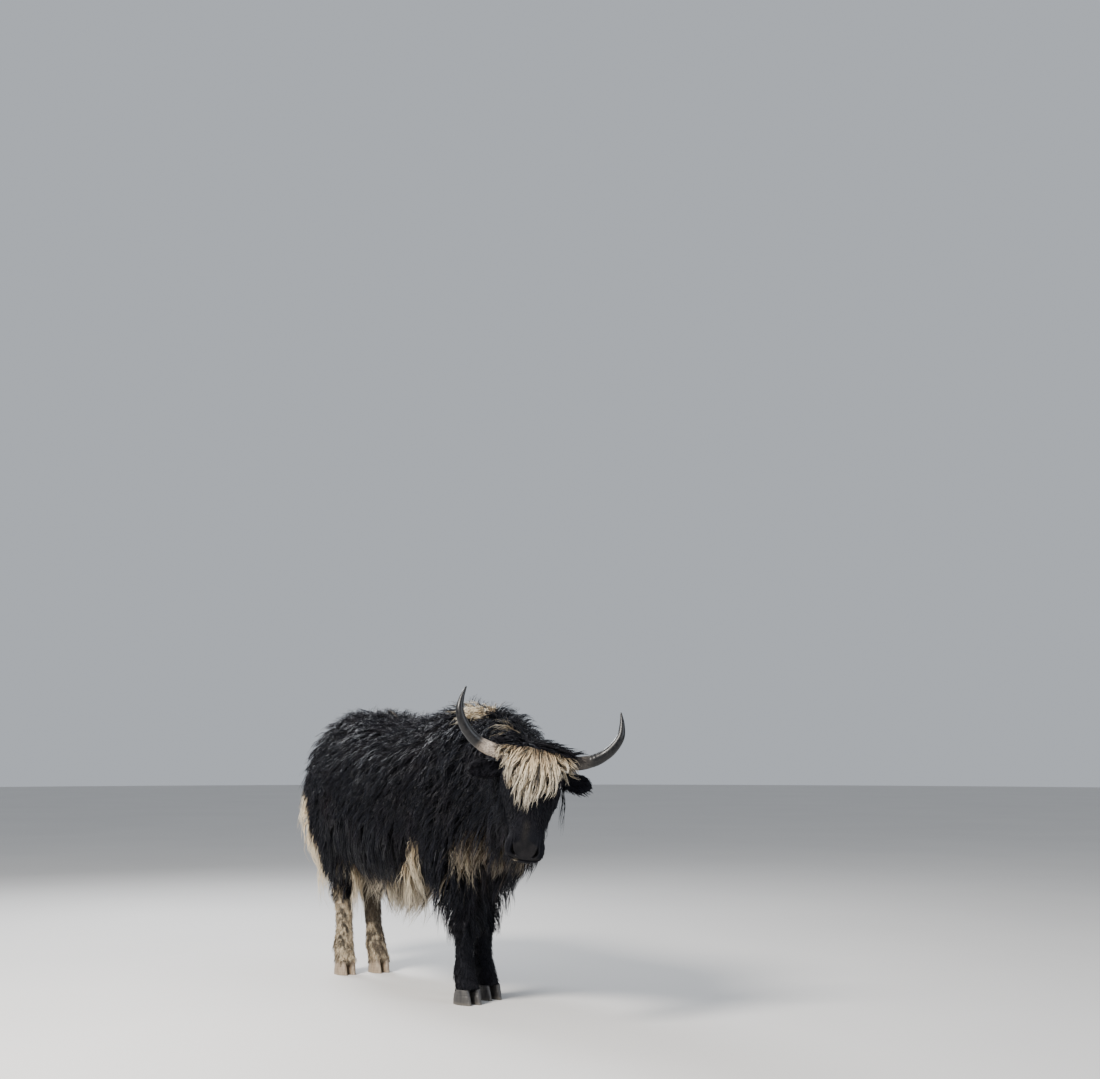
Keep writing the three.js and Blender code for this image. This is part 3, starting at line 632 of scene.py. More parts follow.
def sculpt_face(places, normals):
    head = move(to_head, places) / MM
    out = normals @ to_head[:3, :3].T
    side = np.where(head[:, 1] < 0, -1.0, 1.0)
    head = shape_forms(head, out)
    half = mirrored(head)
    head = shape_mouth(shape_pad(head), half, out)
    head = shape_nostrils(head, half, out, side)
    return move(from_head, shape_lids(head, side) * MM)


place_points(face.data, sculpt_face(places_of(face.data), normals_of(face.data)))
print("face after sculpting", len(face.data.polygons), "faces")

# %% [markdown]
# ## Eyes
# Hard parts stay apart from the skin, because they shine and the skin doesn't. Each eyeball is a sphere at
# its real size and depth in the head, turned so that its pole looks out.

# %% Eyes
eyes = []
for side, name in ((1, "left"), (-1, "right")):
    bm = bmesh.new()
    bmesh.ops.create_uvsphere(bm, u_segments=48, v_segments=32, radius=EYE_RADIUS * MM)
    pole_outward = Matrix.Rotation(math.radians(-90 * side), 3, "X")
    bmesh.ops.rotate(bm, verts=bm.verts, cent=(0, 0, 0), matrix=pole_outward)
    place = Matrix.Translation(Vector((EYE_DOWN, side * EYE_OUT, EYE_ABOVE)) * MM)
    bmesh.ops.transform(bm, verts=bm.verts, matrix=head_frame @ place)
    eye = new_object("eyeball_" + name, bm)
    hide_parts("eye_" + name)
    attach(eye, "root")
    eyes.append(eye)
print("eyes", len(eyes), "of", 2 * EYE_RADIUS, "mm")

# %% [markdown]
# ## Horns
# A horn is a sheath of old and new rings over a core of bone. It sweeps out, forward and up, and the rings
# are worn smooth towards its tip. One tube with many rings can carry them as real ridges, made from waves
# of three lengths that fade. A number named along, from the root to the tip, is kept at each point for the
# finish to follow.

# %% Horns
HORN = [  # out, forward, up and radius
    (70, 0, -8, 32),
    (140, 0, -4, 31),
    (205, 3, 6, 29),
    (265, 14, 32, 26),
    (318, 26, 80, 23),
    (350, 26, 142, 18),
    (350, 14, 200, 11),
    (340, 4, 244, 4),
]
RIDGES_START, RIDGES_END = 0.28, 0.62


def write_values(mesh, name, values):
    """Keeps one number for each point of a mesh, for a finish to read."""
    mesh.attributes.new(name, "FLOAT", "POINT").data.foreach_set("value", values)


def read_values(mesh, name):
    return read_rows(mesh.attributes[name].data, "value", 1)[:, 0]


def nearest_of(places, others):
    """Which of the others is nearest to each place."""
    tree = KDTree(len(others))
    for i, other in enumerate(others):
        tree.insert(other, i)
    tree.balance()
    return np.array([tree.find(place)[1] for place in places])


def note_along(mesh, middle):
    """Writes how far along a smooth line each point of the mesh lies, from 0 to 1."""
    shares = np.linspace(0, 1, 200)
    write_values(mesh, "along", shares[nearest_of(places_of(mesh), smooth_line(middle, shares))])


horns = []
for side, name in ((1, "left"), (-1, "right")):
    rows = [((fore, side * out, high), r, r, r) for out, fore, high, r in HORN]
    bm = bmesh.new()
    add_tube(bm, Tube(rows, up=(1, 0, 0), square=2, domes=(0, 5), frame=face_frame), 40, 140)
    horn = new_object("horn_sheath_" + name, bm)
    note_along(horn.data, [tuple(face_frame @ (Vector(row[0]) * MM)) for row in rows])
    along = read_values(horn.data, "along")
    ridge = (np.sin(along * 120 + 2 * np.sin(along * 31)) * 0.7 + np.sin(along * 47)) * 0.7 * MM
    ridge = ridge * (1 - smooth_step(RIDGES_START, RIDGES_END, along))
    place_points(horn.data, places_of(horn.data) + normals_of(horn.data) * ridge[:, None])
    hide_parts("horn_" + name)
    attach(horn, "root")
    horns.append(horn)
print("horns", [len(h.data.polygons) for h in horns])

# %% [markdown]
# ## Hooves
# A yak walks on two claws to a foot, flat below and rounded in front, with a cleft between them. Each is a
# tube of a few oval sections. Its toe is drawn in towards the cleft, its heel is lowered, and fine rings
# run round its wall. Two small dewclaws sit higher up behind, as cones with rounded rims.

# %% Hooves and dewclaws
CLAW_HALF, CLAW_APART = 28, 31
# Height, reach forward and back, and size
CLAW_ROWS = [(66, 50, 45, 0.84), (50, 57, 47, 0.91), (34, 64, 48, 0.96), (14, 71, 49, 0.99), (0, 76, 48, 1)]
HEEL_DROP = 0.3
TOE_DRAWN_IN = 0.42
hooves = []
for leg, (x, y, _, share, _) in FEET.items():
    bm = bmesh.new()
    for side in (1, -1):
        rows = []
        for z, fore, aft, size in CLAW_ROWS:
            place = (x, y + side * CLAW_APART * share, z)
            rows.append((place, CLAW_HALF * size * share, fore * share, aft * share))
        add_tube(bm, Tube(rows, up=(1, 0, 0), square=2.4), 40, 30, caps=3)
    hoof = new_object("hooves_" + leg, bm)
    fore, across, z = (places_of(hoof.data) / MM - (x, y, 0)).T
    middle = np.sign(across) * CLAW_APART * share
    toe = smooth_step(10, 80 * share, fore)
    across = middle + (across - middle) * (1 - TOE_DRAWN_IN * toe) - np.sign(across) * 5 * toe
    ridge = np.sin(z * 0.55 + fore * 0.012) * 0.25 + np.sin(z * 0.23 + 1) * 0.3
    ridge = ridge * smooth_step(3, 8, z) * smooth_step(62, 54, z)
    z = z * (1 - HEEL_DROP * smooth_step(5, -45, fore))
    places = np.c_[fore, across, z] + (x, y, 0) + normals_of(hoof.data) * ridge[:, None] * (1, 1, 0)
    place_points(hoof.data, places * MM)
    write_values(hoof.data, "along", np.clip(1 - z / CORONET, 0, 1))
    for word in ("left", "right"):
        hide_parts(leg + "_claw_" + word)
    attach(hoof, "root")
    hooves.append(hoof)
bm = bmesh.new()
for leg, (x, y, _, share, _) in FEET.items():
    for side in (1, -1):
        cone = bmesh.ops.create_cone(
            bm, cap_ends=True, segments=20, radius1=14 * MM, radius2=4 * MM, depth=36 * MM
        )["verts"]
        rims = {e for v in cone for e in v.link_edges if e.calc_face_angle(0) > 0.8}
        made = bmesh.ops.bevel(
            bm, geom=list(rims), offset=3 * MM, segments=3, profile=0.5, affect="EDGES", material=-1
        )
        cone = list({v for v in cone if v.is_valid} | set(made["verts"]))
        place = Matrix.Translation(Vector((x - 50, y + side * 21, 120)) * MM)
        bmesh.ops.transform(bm, verts=cone, matrix=place @ Matrix.Rotation(math.radians(-118), 4, "Y"))
dewclaws = new_object("dewclaws", bm)
write_values(dewclaws.data, "along", np.full(len(dewclaws.data.vertices), 0.4))
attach(dewclaws, "root")
print("hooves", [len(h.data.polygons) for h in hooves], "dewclaws", len(dewclaws.data.polygons))

# %% [markdown]
# ## The hide that hair grows on
# Hair is made as thin closed tufts of mesh. Their roots are spread over the triangles of a skin in
# proportion to area, so both skins are unwrapped and read into arrays once. A tree of the triangles then
# tells how high any place is over the skin, and that keeps the hair from sinking into it.

# %% Read a skin for its hair
random = np.random.default_rng(7)
THIN = 1.0


def unwrap(obj):
    bpy.context.view_layer.objects.active = obj
    obj.select_set(True)
    obj.data.uv_layers.new(name="OFBake")
    bpy.ops.object.mode_set(mode="EDIT")
    bpy.ops.mesh.select_all(action="SELECT")
    bpy.ops.uv.smart_project(angle_limit=math.radians(66), island_margin=0.002)
    bpy.ops.object.mode_set(mode="OBJECT")
    obj.select_set(False)


def triangles_of(mesh):
    """The corners of a mesh's triangles, as points and as loops."""
    mesh.calc_loop_triangles()
    return [read_rows(mesh.loop_triangles, name, 3, int) for name in ("vertices", "loops")]


class Hide:
    """A skin that hair grows on, as arrays of its triangles. The hair also keeps clear of the others."""

    def __init__(self, obj, others=()):
        mesh = obj.data
        corners, loops = triangles_of(mesh)
        places = places_of(mesh)
        self.places = places[corners]
        self.normals = normals_of(mesh)[corners]
        self.uv = read_rows(mesh.uv_layers["OFBake"].uv, "vector", 2)[loops]
        cross = np.cross(self.places[:, 1] - self.places[:, 0], self.places[:, 2] - self.places[:, 0])
        self.area = np.linalg.norm(cross, axis=1) / 2
        for other in others:
            corners = np.vstack([corners, triangles_of(other.data)[0] + len(places)])
            places = np.vstack([places, places_of(other.data)])
        self.tree = BVHTree.FromPolygons(places.tolist(), corners.tolist())

    def roots(self, density):
        """Random places on the hide, as many to the square metre as density says."""
        share = self.area * density(self.places.mean(1), unit(self.normals.mean(1)))
        count = int(share.sum() * THIN)
        chosen = random.choice(len(share), count, p=share / share.sum())
        a, b = random.random((2, count, 1))
        a, b = np.where(a + b > 1, 1 - a, a), np.where(a + b > 1, 1 - b, b)
        mix = lambda v: v[chosen, 0] * (1 - a - b) + v[chosen, 1] * a + v[chosen, 2] * b
        return mix(self.places), unit(mix(self.normals)), mix(self.uv)

    def below(self, places):
        """The nearest places on the skin, and the way out of it there."""
        found = [self.tree.find_nearest(place)[:2] for place in places.tolist()]
        return np.array([f[0] for f in found]), np.array([f[1] for f in found])


unwrap(skin)
unwrap(face)
body_hide, face_hide = Hide(skin), Hide(face, horns)
print("hide", round(body_hide.area.sum(), 2), "and", round(face_hide.area.sum(), 2), "square metres")

# %% [markdown]
# ## How the hair lies
# A few guides show the lie of the coat and the tufts copy their nearest guide, closing on it towards the
# tip, as hair does in locks. A guide walks from its root in short steps. At each step it turns a little
# towards the lie of the coat and towards the ground, and keeps to the height over the skin that its layer
# of the coat has.

# %% Guides and their followers
DOWN = np.array([0, 0, -1.0])
HIGHEST_LIFT = 0.04


def guides(hide, roots, normals, look, steps):
    """Paths of the guide hairs, one row of places each."""
    lie, length, layer, cling = look["lie"], look["length"], look["layer"], look["cling"]
    lie_end = look.get("lie_end", lie)
    path = [roots]
    flat = lie - normals * (lie * normals).sum(1, keepdims=True)
    way = unit(unit(flat) * np.cos(look["lift"])[:, None] + normals * np.sin(look["lift"])[:, None])
    for k in range(1, steps):
        t = k / (steps - 1)
        here = path[-1] + way * (length / (steps - 1))[:, None]
        skin_place, out = hide.below(here)
        wanted = layer * t**0.6 - ((here - skin_place) * out).sum(1)
        here = here + out * np.where(wanted > 0, np.minimum(wanted, HIGHEST_LIFT), wanted * cling)[:, None]
        way = unit(here - path[-1])
        if "aim" in look:
            lie_end = unit(look["aim"] - here)
        flat = lie * (1 - t) + lie_end * t
        flat = flat - out * (flat * out).sum(1, keepdims=True)
        way = unit(way * 0.65 + unit(flat) * 0.35)
        way = unit(way + DOWN * (look["droop"] * t)[:, None])
        path.append(here)
    path = np.stack(path, 1)
    t = np.linspace(0, 1, steps)[None, :]
    phase = random.uniform(0, 2 * math.pi, (len(roots), 1))
    swing = (np.sin(phase + 2 * math.pi * look["bends"] * t) - np.sin(phase)) * t**0.5 * look["curl"]
    across = unit(np.cross(path[:, -1] - roots, normals))
    return path + across[:, None] * swing[..., None]


def follow(roots, look, leaders, nearest):
    """Paths of the tufts: each keeps its root and closes on its guide towards the tip."""
    count, steps = len(roots), leaders.shape[1]
    t = np.linspace(0, 1, steps)[None, :]
    reach = random.uniform(0.62, 1, (count, 1)) * t * (steps - 1)
    low = np.minimum(reach.astype(int), steps - 2)
    part = (reach - low)[..., None]
    own = leaders[nearest]
    row = np.arange(count)[:, None]
    path = own[row, low] * (1 - part) + own[row, low + 1] * part
    close = 1 - look["clump"][:, None] * t**0.8
    path = path + (roots - own[:, 0])[:, None, :] * close[..., None]
    along = unit(own[:, -1] - own[:, 0])
    across = unit(np.cross(along, random.normal(size=(count, 3))))
    third = np.cross(along, across)
    phase = random.uniform(0, 2 * math.pi, (count, 1))
    swing = look["wave"][:, None] * t
    turns = look["turns"][:, None] * 2 * math.pi
    path = path + across[:, None] * (np.sin(phase + turns * t) * swing)[..., None]
    return path + third[:, None] * (np.cos(phase * 1.7 + turns * 0.8 * t) * swing * 0.6)[..., None]


print("guides turn towards", DOWN)

# %% [markdown]
# ## Tufts
# Each tuft is a strip with three sides that narrows to a point, so it catches light like a lock of hair.
# All tufts of a piece are built at once as arrays and joined in one mesh: thousands of separate objects
# would be slow to make and to render. Every tuft also gets a tiny patch of the skin's unwrap, at its own
# root.

# %% Tufts as one mesh
PATCH = 0.003
THICK = 0.45


def tuft_points(paths, width):
    """The points of tufts: three at each step of a path, and one at its end."""
    count, steps = paths.shape[:2]
    along = unit(np.gradient(paths, axis=1))
    side = np.cross(along, np.array([0.21, 0.36, 0.9]))
    too_short = np.linalg.norm(side, axis=2, keepdims=True) < 0.1
    side = unit(np.where(too_short, np.cross(along, [1.0, 0, 0]), side))
    over = np.cross(side, along)
    t = np.linspace(0, 1, steps)[None, :, None]
    size = width[:, None, None] * (0.55 + 0.45 * np.sin(np.minimum(t * 2.4, 1) * math.pi / 2)) * (1 - t**1.8)
    roll = random.uniform(0, 2 * math.pi, (count, 1, 1))
    rings = []
    for corner in range(3):
        turn = roll + corner * 2 * math.pi / 3
        rings.append(paths + (side * np.cos(turn) + over * np.sin(turn) * THICK) * size / 2)
    body = np.stack(rings, 2)[:, :-1]
    return np.concatenate([body.reshape(count, -1, 3), paths[:, -1:]], 1)


def tuft_faces(steps):
    """The corners of one tuft's faces in a row, and where in the row each face starts."""
    faces = []
    for k in range(steps - 2):
        for corner in range(3):
            a, b = k * 3 + corner, k * 3 + (corner + 1) % 3
            faces.append((a, b, b + 3, a + 3))
    last = (steps - 2) * 3
    faces += [(last + c, last + (c + 1) % 3, last + 3) for c in range(3)] + [(2, 1, 0)]
    return np.array([i for face in faces for i in face]), np.cumsum([0] + [len(face) for face in faces])[:-1]


def tuft_mesh(name, paths, width, marks, uv):
    """Joins tufts along the paths in one object, with their marks and their patches of the unwrap."""
    points = tuft_points(paths, width)
    (count, each), steps = points.shape[:2], paths.shape[1]
    faces, starts = tuft_faces(steps)
    corners = (np.arange(count)[:, None] * each + faces).ravel()
    loop_starts = (np.arange(count)[:, None] * len(faces) + starts).ravel()
    mesh = bpy.data.meshes.new(name)
    mesh.vertices.add(count * each)
    mesh.vertices.foreach_set("co", (points.reshape(-1, 3) - np.array(SHIFT)).ravel())
    mesh.loops.add(len(corners))
    mesh.loops.foreach_set("vertex_index", corners)
    mesh.polygons.add(len(loop_starts))
    mesh.polygons.foreach_set("loop_start", loop_starts)
    mesh.update(calc_edges=True)
    mesh.shade_smooth()
    level = np.r_[np.repeat(np.linspace(0, 1, steps)[:-1], 3), 1.0]
    place = np.r_[np.tile([0, 0.5, 1], steps - 1), 0.5]
    colour = np.empty((count, each, 4), np.float32)
    colour[:, :, 0], colour[:, :, 1] = marks[:, 0:1], marks[:, 1:2]
    colour[:, :, 2], colour[:, :, 3] = level[None, :], random.random((count, 1))
    mesh.attributes.new("marks", "FLOAT_COLOR", "POINT").data.foreach_set("color", colour.ravel())
    patch = np.stack([place - 0.5, level - 0.5], 1) * PATCH
    spots = np.clip(uv[:, None, :] + patch[None], 0.0005, 0.9995)
    layer = mesh.uv_layers.new(name="OFBake")
    layer.uv.foreach_set("vector", spots.reshape(-1, 2)[corners].astype(np.float32).ravel())
    obj = add_to_scene(name, mesh)
    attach(obj, "root")
    return obj


print("a tuft of 6 steps has", len(tuft_faces(6)[1]), "faces")

# %% [markdown]
# ## Growing a coat
# Every coat is grown in the same way, so that is one function: it takes a rule for how dense the hair is,
# one for its sizes and lie, and one for its marks. A few roots become guides and all roots become tufts.
# The coat is cut in pieces by place, so that no piece has too many faces to edit with ease.

# %% Grow a coat
LIMIT = 190000


def grow(name, hide, density, style, marks, steps, part_of=None, guide_share=0.16, sunk=0.003):
    """Grows the tufts of one coat and joins them in pieces. style gives the sizes at the roots."""
    roots, normals, uv = hide.roots(density)
    leads = max(int(len(roots) * guide_share), 12)
    leaders = guides(hide, roots[:leads], normals[:leads], style(roots[:leads], normals[:leads]), steps)
    look = style(roots, normals)
    made = follow(roots - normals * sunk, look, leaders, nearest_of(roots, roots[:leads]))
    shade = marks(roots, normals)
    parts = np.zeros(len(roots), int) if part_of is None else part_of(roots)
    pieces = []
    each = 6 * (steps - 2) + 4
    for part in np.unique(parts):
        mine = np.flatnonzero(parts == part)
        mine = mine[np.argsort(roots[mine, 0])]
        for chunk in np.array_split(mine, math.ceil(len(mine) * each / LIMIT)):
            label = f"{name}_{len(pieces) + 1}"
            pieces.append(tuft_mesh(label, made[chunk], look["width"][chunk], shade[chunk], uv[chunk]))
    print(name, len(roots), "tufts", len(roots) * each, "triangles", len(pieces), "pieces")
    return pieces


print("pieces of at most", LIMIT, "triangles")

# %% [markdown]
# ## Black, cream and tan
# The coat is black with cream on the hump, in a stripe behind the elbow, under the belly and on the hind
# legs and tail, and a tan and grey patch on the chest. Each mark is a soft-edged capsule between two
# places, broken up by noise. It is set where the hair is rooted, a hand's width above where it shows. Marks
# could be painted on a picture instead, but a rule can colour the skin and every tuft alike, so no white
# skin shows through black hair.

# %% Marks of the body
MARKS = [  # from, to, reach, how pale, how warm
    ((0.63, -0.07, 1.32), (0.675, -0.05, 1.33), 0.052, 1.0, 0.1),
    ((0.89, -0.065, 1.222), (0.945, -0.045, 1.217), 0.014, 0.4, 0.0),
    ((-0.20, -0.004, 1.31), (-0.18, 0.0, 1.31), 0.03, 0.6, 0.2),
    ((0.08, -0.021, 1.30), (0.09, -0.02, 1.30), 0.03, 0.6, 0.2),
    ((0.375, -0.232, 0.735), (0.335, -0.212, 0.690), 0.031, 0.88, 0.2),
    ((0.335, -0.212, 0.690), (0.20, -0.165, 0.625), 0.034, 0.88, 0.2),
    ((-0.46, -0.13, 0.60), (-0.51, -0.08, 0.57), 0.035, 0.95, 0.3),
    ((0.67, -0.172, 0.71), (0.67, -0.145, 0.66), 0.046, 0.50, 0.4),
    ((0.75, -0.13, 0.74), (0.82, -0.02, 0.71), 0.078, 0.27, 1.0),
    ((0.82, 0.05, 0.715), (0.80, 0.09, 0.68), 0.06, 0.24, 0.9),
    ((0.64, -0.02, 0.61), (0.63, -0.03, 0.59), 0.030, 0.25, 1.0),
    ((0.58, -0.16, 0.59), (0.575, -0.158, 0.57), 0.015, 0.35, 0.3),
]


def noise_at(places, scale, seed=0):
    """Smooth random numbers from about -1 to 1, made of a few waves in turned directions."""
    made = np.zeros(len(places))
    turn = np.random.default_rng(seed + 3)
    for _ in range(7):
        way = unit(turn.normal(size=3))
        made += np.sin(places @ way * (2 * math.pi / scale) * turn.uniform(0.6, 1.7) + turn.uniform(0, 6.28))
    return made / 3.2


def capsule(places, a, b, reach):
    """How far places are from the line between two, in shares of the reach."""
    a, b = np.array(a), np.array(b)
    t = np.clip(((places - a) @ (b - a)) / ((b - a) ** 2).sum(), 0, 1)
    return np.linalg.norm(places - (a + (b - a) * t[:, None]), axis=1) / reach


def body_marks(places, normals):
    """How pale and how warm the hair is at places on the body."""
    x, y, z = places.T
    rough = noise_at(places, 0.11) * 0.16 + noise_at(places, 0.035, 1) * 0.16
    shades = []
    for a, b, reach, light, warmth in MARKS:
        shades.append(((1 - smooth_step(0.75, 1.15, capsule(places, a, b, reach) + rough)) * light, warmth))
    belly_top = 0.615 + 0.03 * smooth_step(0.1, 0.3, x)
    belly = smooth_step(belly_top, belly_top - 0.04, z + 0.15 * rough) * (z > 0.46)
    back_end = np.where(y < 0, -0.52, -0.60)
    front_end = np.interp(y, [-0.2, -0.05], [0.32, 0.17])
    belly = belly * smooth_step(back_end, back_end + 0.06, x) * smooth_step(front_end, front_end - 0.06, x)
    # The far hind leg starts its cream lower, with a dim tan above it, as painted shade under the belly.
    hind_top = np.where(y < 0, 0.44, 0.235)
    hind = smooth_step(hind_top, hind_top - 0.08, z + rough * 0.35) * (x < -0.3)
    shaded = 0.22 * smooth_step(0.48, 0.42, z) * (x < -0.3) * (y > 0)
    # Dark flecks on the pale hind legs: partly their own mottling, partly painted shade between the curls.
    mottle_and_curl_shade = 0.64 + 0.5 * noise_at(places * (1, 1, 0.7), 0.05, 2) + 0.6 * noise_at(places, 0.022, 4)
    tail = smooth_step(-0.85, -0.90, x + 0.1 * rough) * (z < 1.02)
    shades += [(belly * 0.78, 0.4), (shaded, 1.0), (hind * np.clip(mottle_and_curl_shade, 0.1, 1), 0.5), (tail, 0.2)]
    pale, warm = np.zeros(len(places)), np.zeros(len(places))
    for share, warmth in shades:
        warm = np.where(share > pale, warmth, warm)
        pale = np.maximum(pale, share)
    return np.c_[pale, warm]


pale_skin = body_marks(places_of(skin.data), normals_of(skin.data))[:, 0] > 0.5
print("pale points on the body's skin", int(pale_skin.sum()), "of", len(pale_skin))

# %% [markdown]
# ## Marks of the face
# The face is black below a pale brow, with a little grey on the bridge of the nose and one pale spot on the
# lip. The black crest comes further down on the left than on the right. The rule works in the head's frame,
# so that it stays on the face when the head is turned.

# %% Marks of the face
LIP_SPOT, BROW_SPOT = (482, -30, -38), (100, -102, 48)


def mane_edge(out):
    """How far down the face the black hair of the crest reaches."""
    return -22 + 14 * smooth_step(-50, 50, out)


def face_marks(places, normals):
    down, out, above = move(to_head, places).T / MM
    rough = noise_at(places, 0.05) * 0.3
    brow = 1 - smooth_step(0.75, 1.0, np.hypot((down - 60) / 150, out / 95) + rough)
    brow = brow * (above > 20) * (down > mane_edge(out) + 16)
    bridge = 0.02 * bell(out, -8, 14) * smooth_step(330, 370, down) * smooth_step(460, 430, down)
    spots = [np.linalg.norm(np.c_[down, out, above] - spot, axis=1) for spot in (LIP_SPOT, BROW_SPOT)]
    spot = 0.9 * bell(np.min(spots, axis=0), 0, 9)
    return np.c_[np.maximum(np.maximum(brow * 0.8, spot), bridge * (above > 20)), 0.4 * (brow > 0.2)]


print("crest ends", [round(float(mane_edge(out)), 1) for out in (-100, 0, 100)], "mm down the face")

# %% [markdown]
# ## Parts of the coat
# A yak's coat is short and woolly on the back, a hand long on the flanks and so long below them that it
# makes a skirt. Shanks carry short hair, and the tail a plume. One could keep a separate coat for each
# part, but then the borders would show. Here each part is a soft share from 0 to 1, and length, lift and
# density are blended by it.

# %% Parts of the body
TAIL_REACH = 0.05
SOLE_TOP = 0.062
tail_middle = smooth_line([p for p, _ in TAIL], np.linspace(0.35, 1, 30)) * MM


def body_regions(places, normals):
    """Shares from 0 to 1 that tell which part of the body each place belongs to."""
    x, y, z = places.T
    nx, ny, nz = normals.T
    tail = np.min(np.linalg.norm(places[:, None] - tail_middle[None], axis=2), axis=1) < TAIL_REACH
    body = ~tail * 1.0
    leg = smooth_step(0.57, 0.52, z) * body
    shank = np.where(x > 0, smooth_step(0.38, 0.31, z), smooth_step(0.46, 0.38, z)) * body
    front = smooth_step(0.46, 0.51, x) * body
    haunch = smooth_step(-0.50, -0.58, x) * smooth_step(0.80, 0.70, z) * (y < 0) * (z > 0.48)
    haunch = haunch * np.maximum(smooth_step(0.56, 0.62, z), smooth_step(-0.58, -0.63, x))
    return {
        "tail": tail,
        "leg": leg,
        "shank": shank,
        "top": smooth_step(0.45, 0.9, nz) * (z > 0.95) * body,
        "skirt": smooth_step(0.94, 0.68, z) * (1 - leg) * body,
        "under": smooth_step(0.68, 0.62, z) * (z > 0.5) * smooth_step(0.2, -0.3, nz) * (x < 0.5) * body,
        "chest": smooth_step(0.60, 0.78, x) * smooth_step(0.98, 0.78, z) * (1 - leg) * body,
        "neck": smooth_step(0.78, 0.90, x) * (z > 0.7),
        "rump": smooth_step(-0.60, -0.80, x) * body,
        "middle": smooth_step(-0.66, -0.55, x) * smooth_step(0.56, 0.44, x),
        "elbow": bell(z, 0.58, 0.11) * smooth_step(0.3, -0.3, nx) * front,
        "outer": bell(z, 0.58, 0.14) * front * smooth_step(0.1, 0.6, np.abs(ny)),
        "behind": smooth_step(0.1, -0.7, nx),
        "haunch": haunch * body,
        "beside_head": smooth_step(0.94, 1.02, x) * smooth_step(-0.04, 0.01, y) * body,
        "stripe": smooth_step(1.15, 0.9, capsule(places, (0.41, -0.245, 0.90), (0.34, -0.212, 0.70), 0.12)),
    }


def blend(value, *changes):
    """A value that each change moves towards its own, by its share."""
    for share, new in changes:
        value = value * (1 - share) + new * share
    return value


def body_density(places, normals):
    r = body_regions(places, normals)
    hidden = capsule(places, (1.12, -0.10, 1.0), (1.2, -0.12, 1.0), 0.11) < 1
    dense = blend(7000.0, (r["skirt"], 7600), (r["top"], 7600), (r["under"], 8500))
    dense = np.where(r["tail"], 16000, dense) * (1 - r["shank"])
    return dense * (places[:, 2] >= SOLE_TOP) * ~hidden


def shank_density(places, normals):
    return 24000.0 * body_regions(places, normals)["shank"] * (places[:, 2] > SOLE_TOP)


def body_part(places):
    """Which piece of the coat a place goes to: along the body, the legs, or the tail."""
    x = places[:, 0]
    r = body_regions(places, np.zeros_like(places))
    part = np.digitize(x, [-0.5, -0.1, 0.3, 0.78])
    part = np.where(r["leg"] > 0.5, 5 + (x > 0), part)
    return np.where(r["tail"], 7, part)


print("parts that the body's coat is blended from", len(body_regions(np.zeros((1, 3)), np.zeros((1, 3)))))

# %% [markdown]
# ## The lie and the length of the coat
# Hair on the back parts along the spine, runs back and down over the flanks and hangs straight in the
# skirt. Slow noise makes it drift, as wind and weather do. Length and lie are two rules of their own,
# because the photograph shows each of them apart: the lie in the shine of the locks, the length along the
# lower edge of the coat.

# %% Lie and length
def body_lie(places, r):
    """Which way the hair runs."""
    y, z = places[:, 1], places[:, 2]
    count = len(places)
    steady = np.maximum(np.maximum(r["leg"], r["skirt"]), 0.9 * r["tail"])[:, None]
    back = -0.38 - 0.25 * r["neck"] + 0.3 * r["rump"] * (z < 1.0)
    lie = np.c_[back, 0.9 * np.tanh(y / 0.04) * r["top"], np.full(count, -1.0)]
    lie = lie * (1 - steady) + np.array([-0.12, 0, -1.0]) * steady
    aside = blend(-0.10, (smooth_step(0.84, 0.72, z), 0.42))
    lie = np.where(r["tail"][:, None], np.c_[np.full(count, 0.1), aside, np.full(count, -1.0)], lie)
    drift = [noise_at(places, 0.42, k + 3) * 0.30 + noise_at(places, 0.12, k + 9) * 0.22 for k in range(3)]
    return unit(lie + np.stack(drift, 1) * (1 - 0.7 * steady))


def body_length(places, r, pale):
    """How long the hair is, in metres."""
    x, _, z = places.T
    skirt = 0.215 + 0.05 * r["middle"]
    under = 0.235 + 0.085 * r["middle"] * smooth_step(0.40, 0.12, x)
    feather = 0.035 * bell(z, 0.15, 0.04) * r["behind"]
    hoof_fringe = 0.022 * bell(z, 0.085, 0.025) * (x < 0)
    shank = 0.024 + 0.014 * r["behind"] + feather + hoof_fringe
    length = blend(0.135, (r["top"], 0.105), (r["rump"], 0.13), (r["skirt"], skirt), (r["chest"], 0.22))
    length = blend(length, (r["under"], under), (r["leg"], 0.10 + 0.04 * r["behind"]), (r["elbow"], 0.23))
    length = blend(length, (r["outer"], 0.21), (r["shank"], shank), (r["beside_head"], 0.035))
    length = blend(length, (r["haunch"], 0.11), ((pale > 0.12) * (x > 0.5) * (z > 0.5), 0.13))
    clear_of_belly = np.minimum(length, np.maximum(z - 0.45, 0.11))
    shorter = blend(length, (r["middle"] * (z > 0.55), clear_of_belly), (r["stripe"], 0.13))
    length = np.where(pale < 0.4, shorter, length)
    return np.where(r["tail"], 0.22 + 0.22 * smooth_step(0.80, 0.70, z), length)


def body_layer(places, r, pale):
    """How far the hair stands off the skin, in metres."""
    _, y, z = places.T
    low_rump = r["rump"] * smooth_step(1.05, 0.9, z) * (y < 0)
    layer = blend(0.062, (r["top"], 0.075), (r["rump"], 0.07), (r["leg"], 0.022), (r["elbow"], 0.06))
    layer = blend(layer, (r["outer"], 0.05), (r["shank"], 0.010), (r["beside_head"], 0.012))
    layer = blend(layer, (r["haunch"], 0.025), (low_rump, 0.04))
    layer = blend(layer, (r["stripe"] * (1 - pale), 0.03), (r["stripe"] * pale, 0.09))
    return np.where(r["tail"], 0.04 + 0.04 * smooth_step(0.8, 0.9, z), layer)


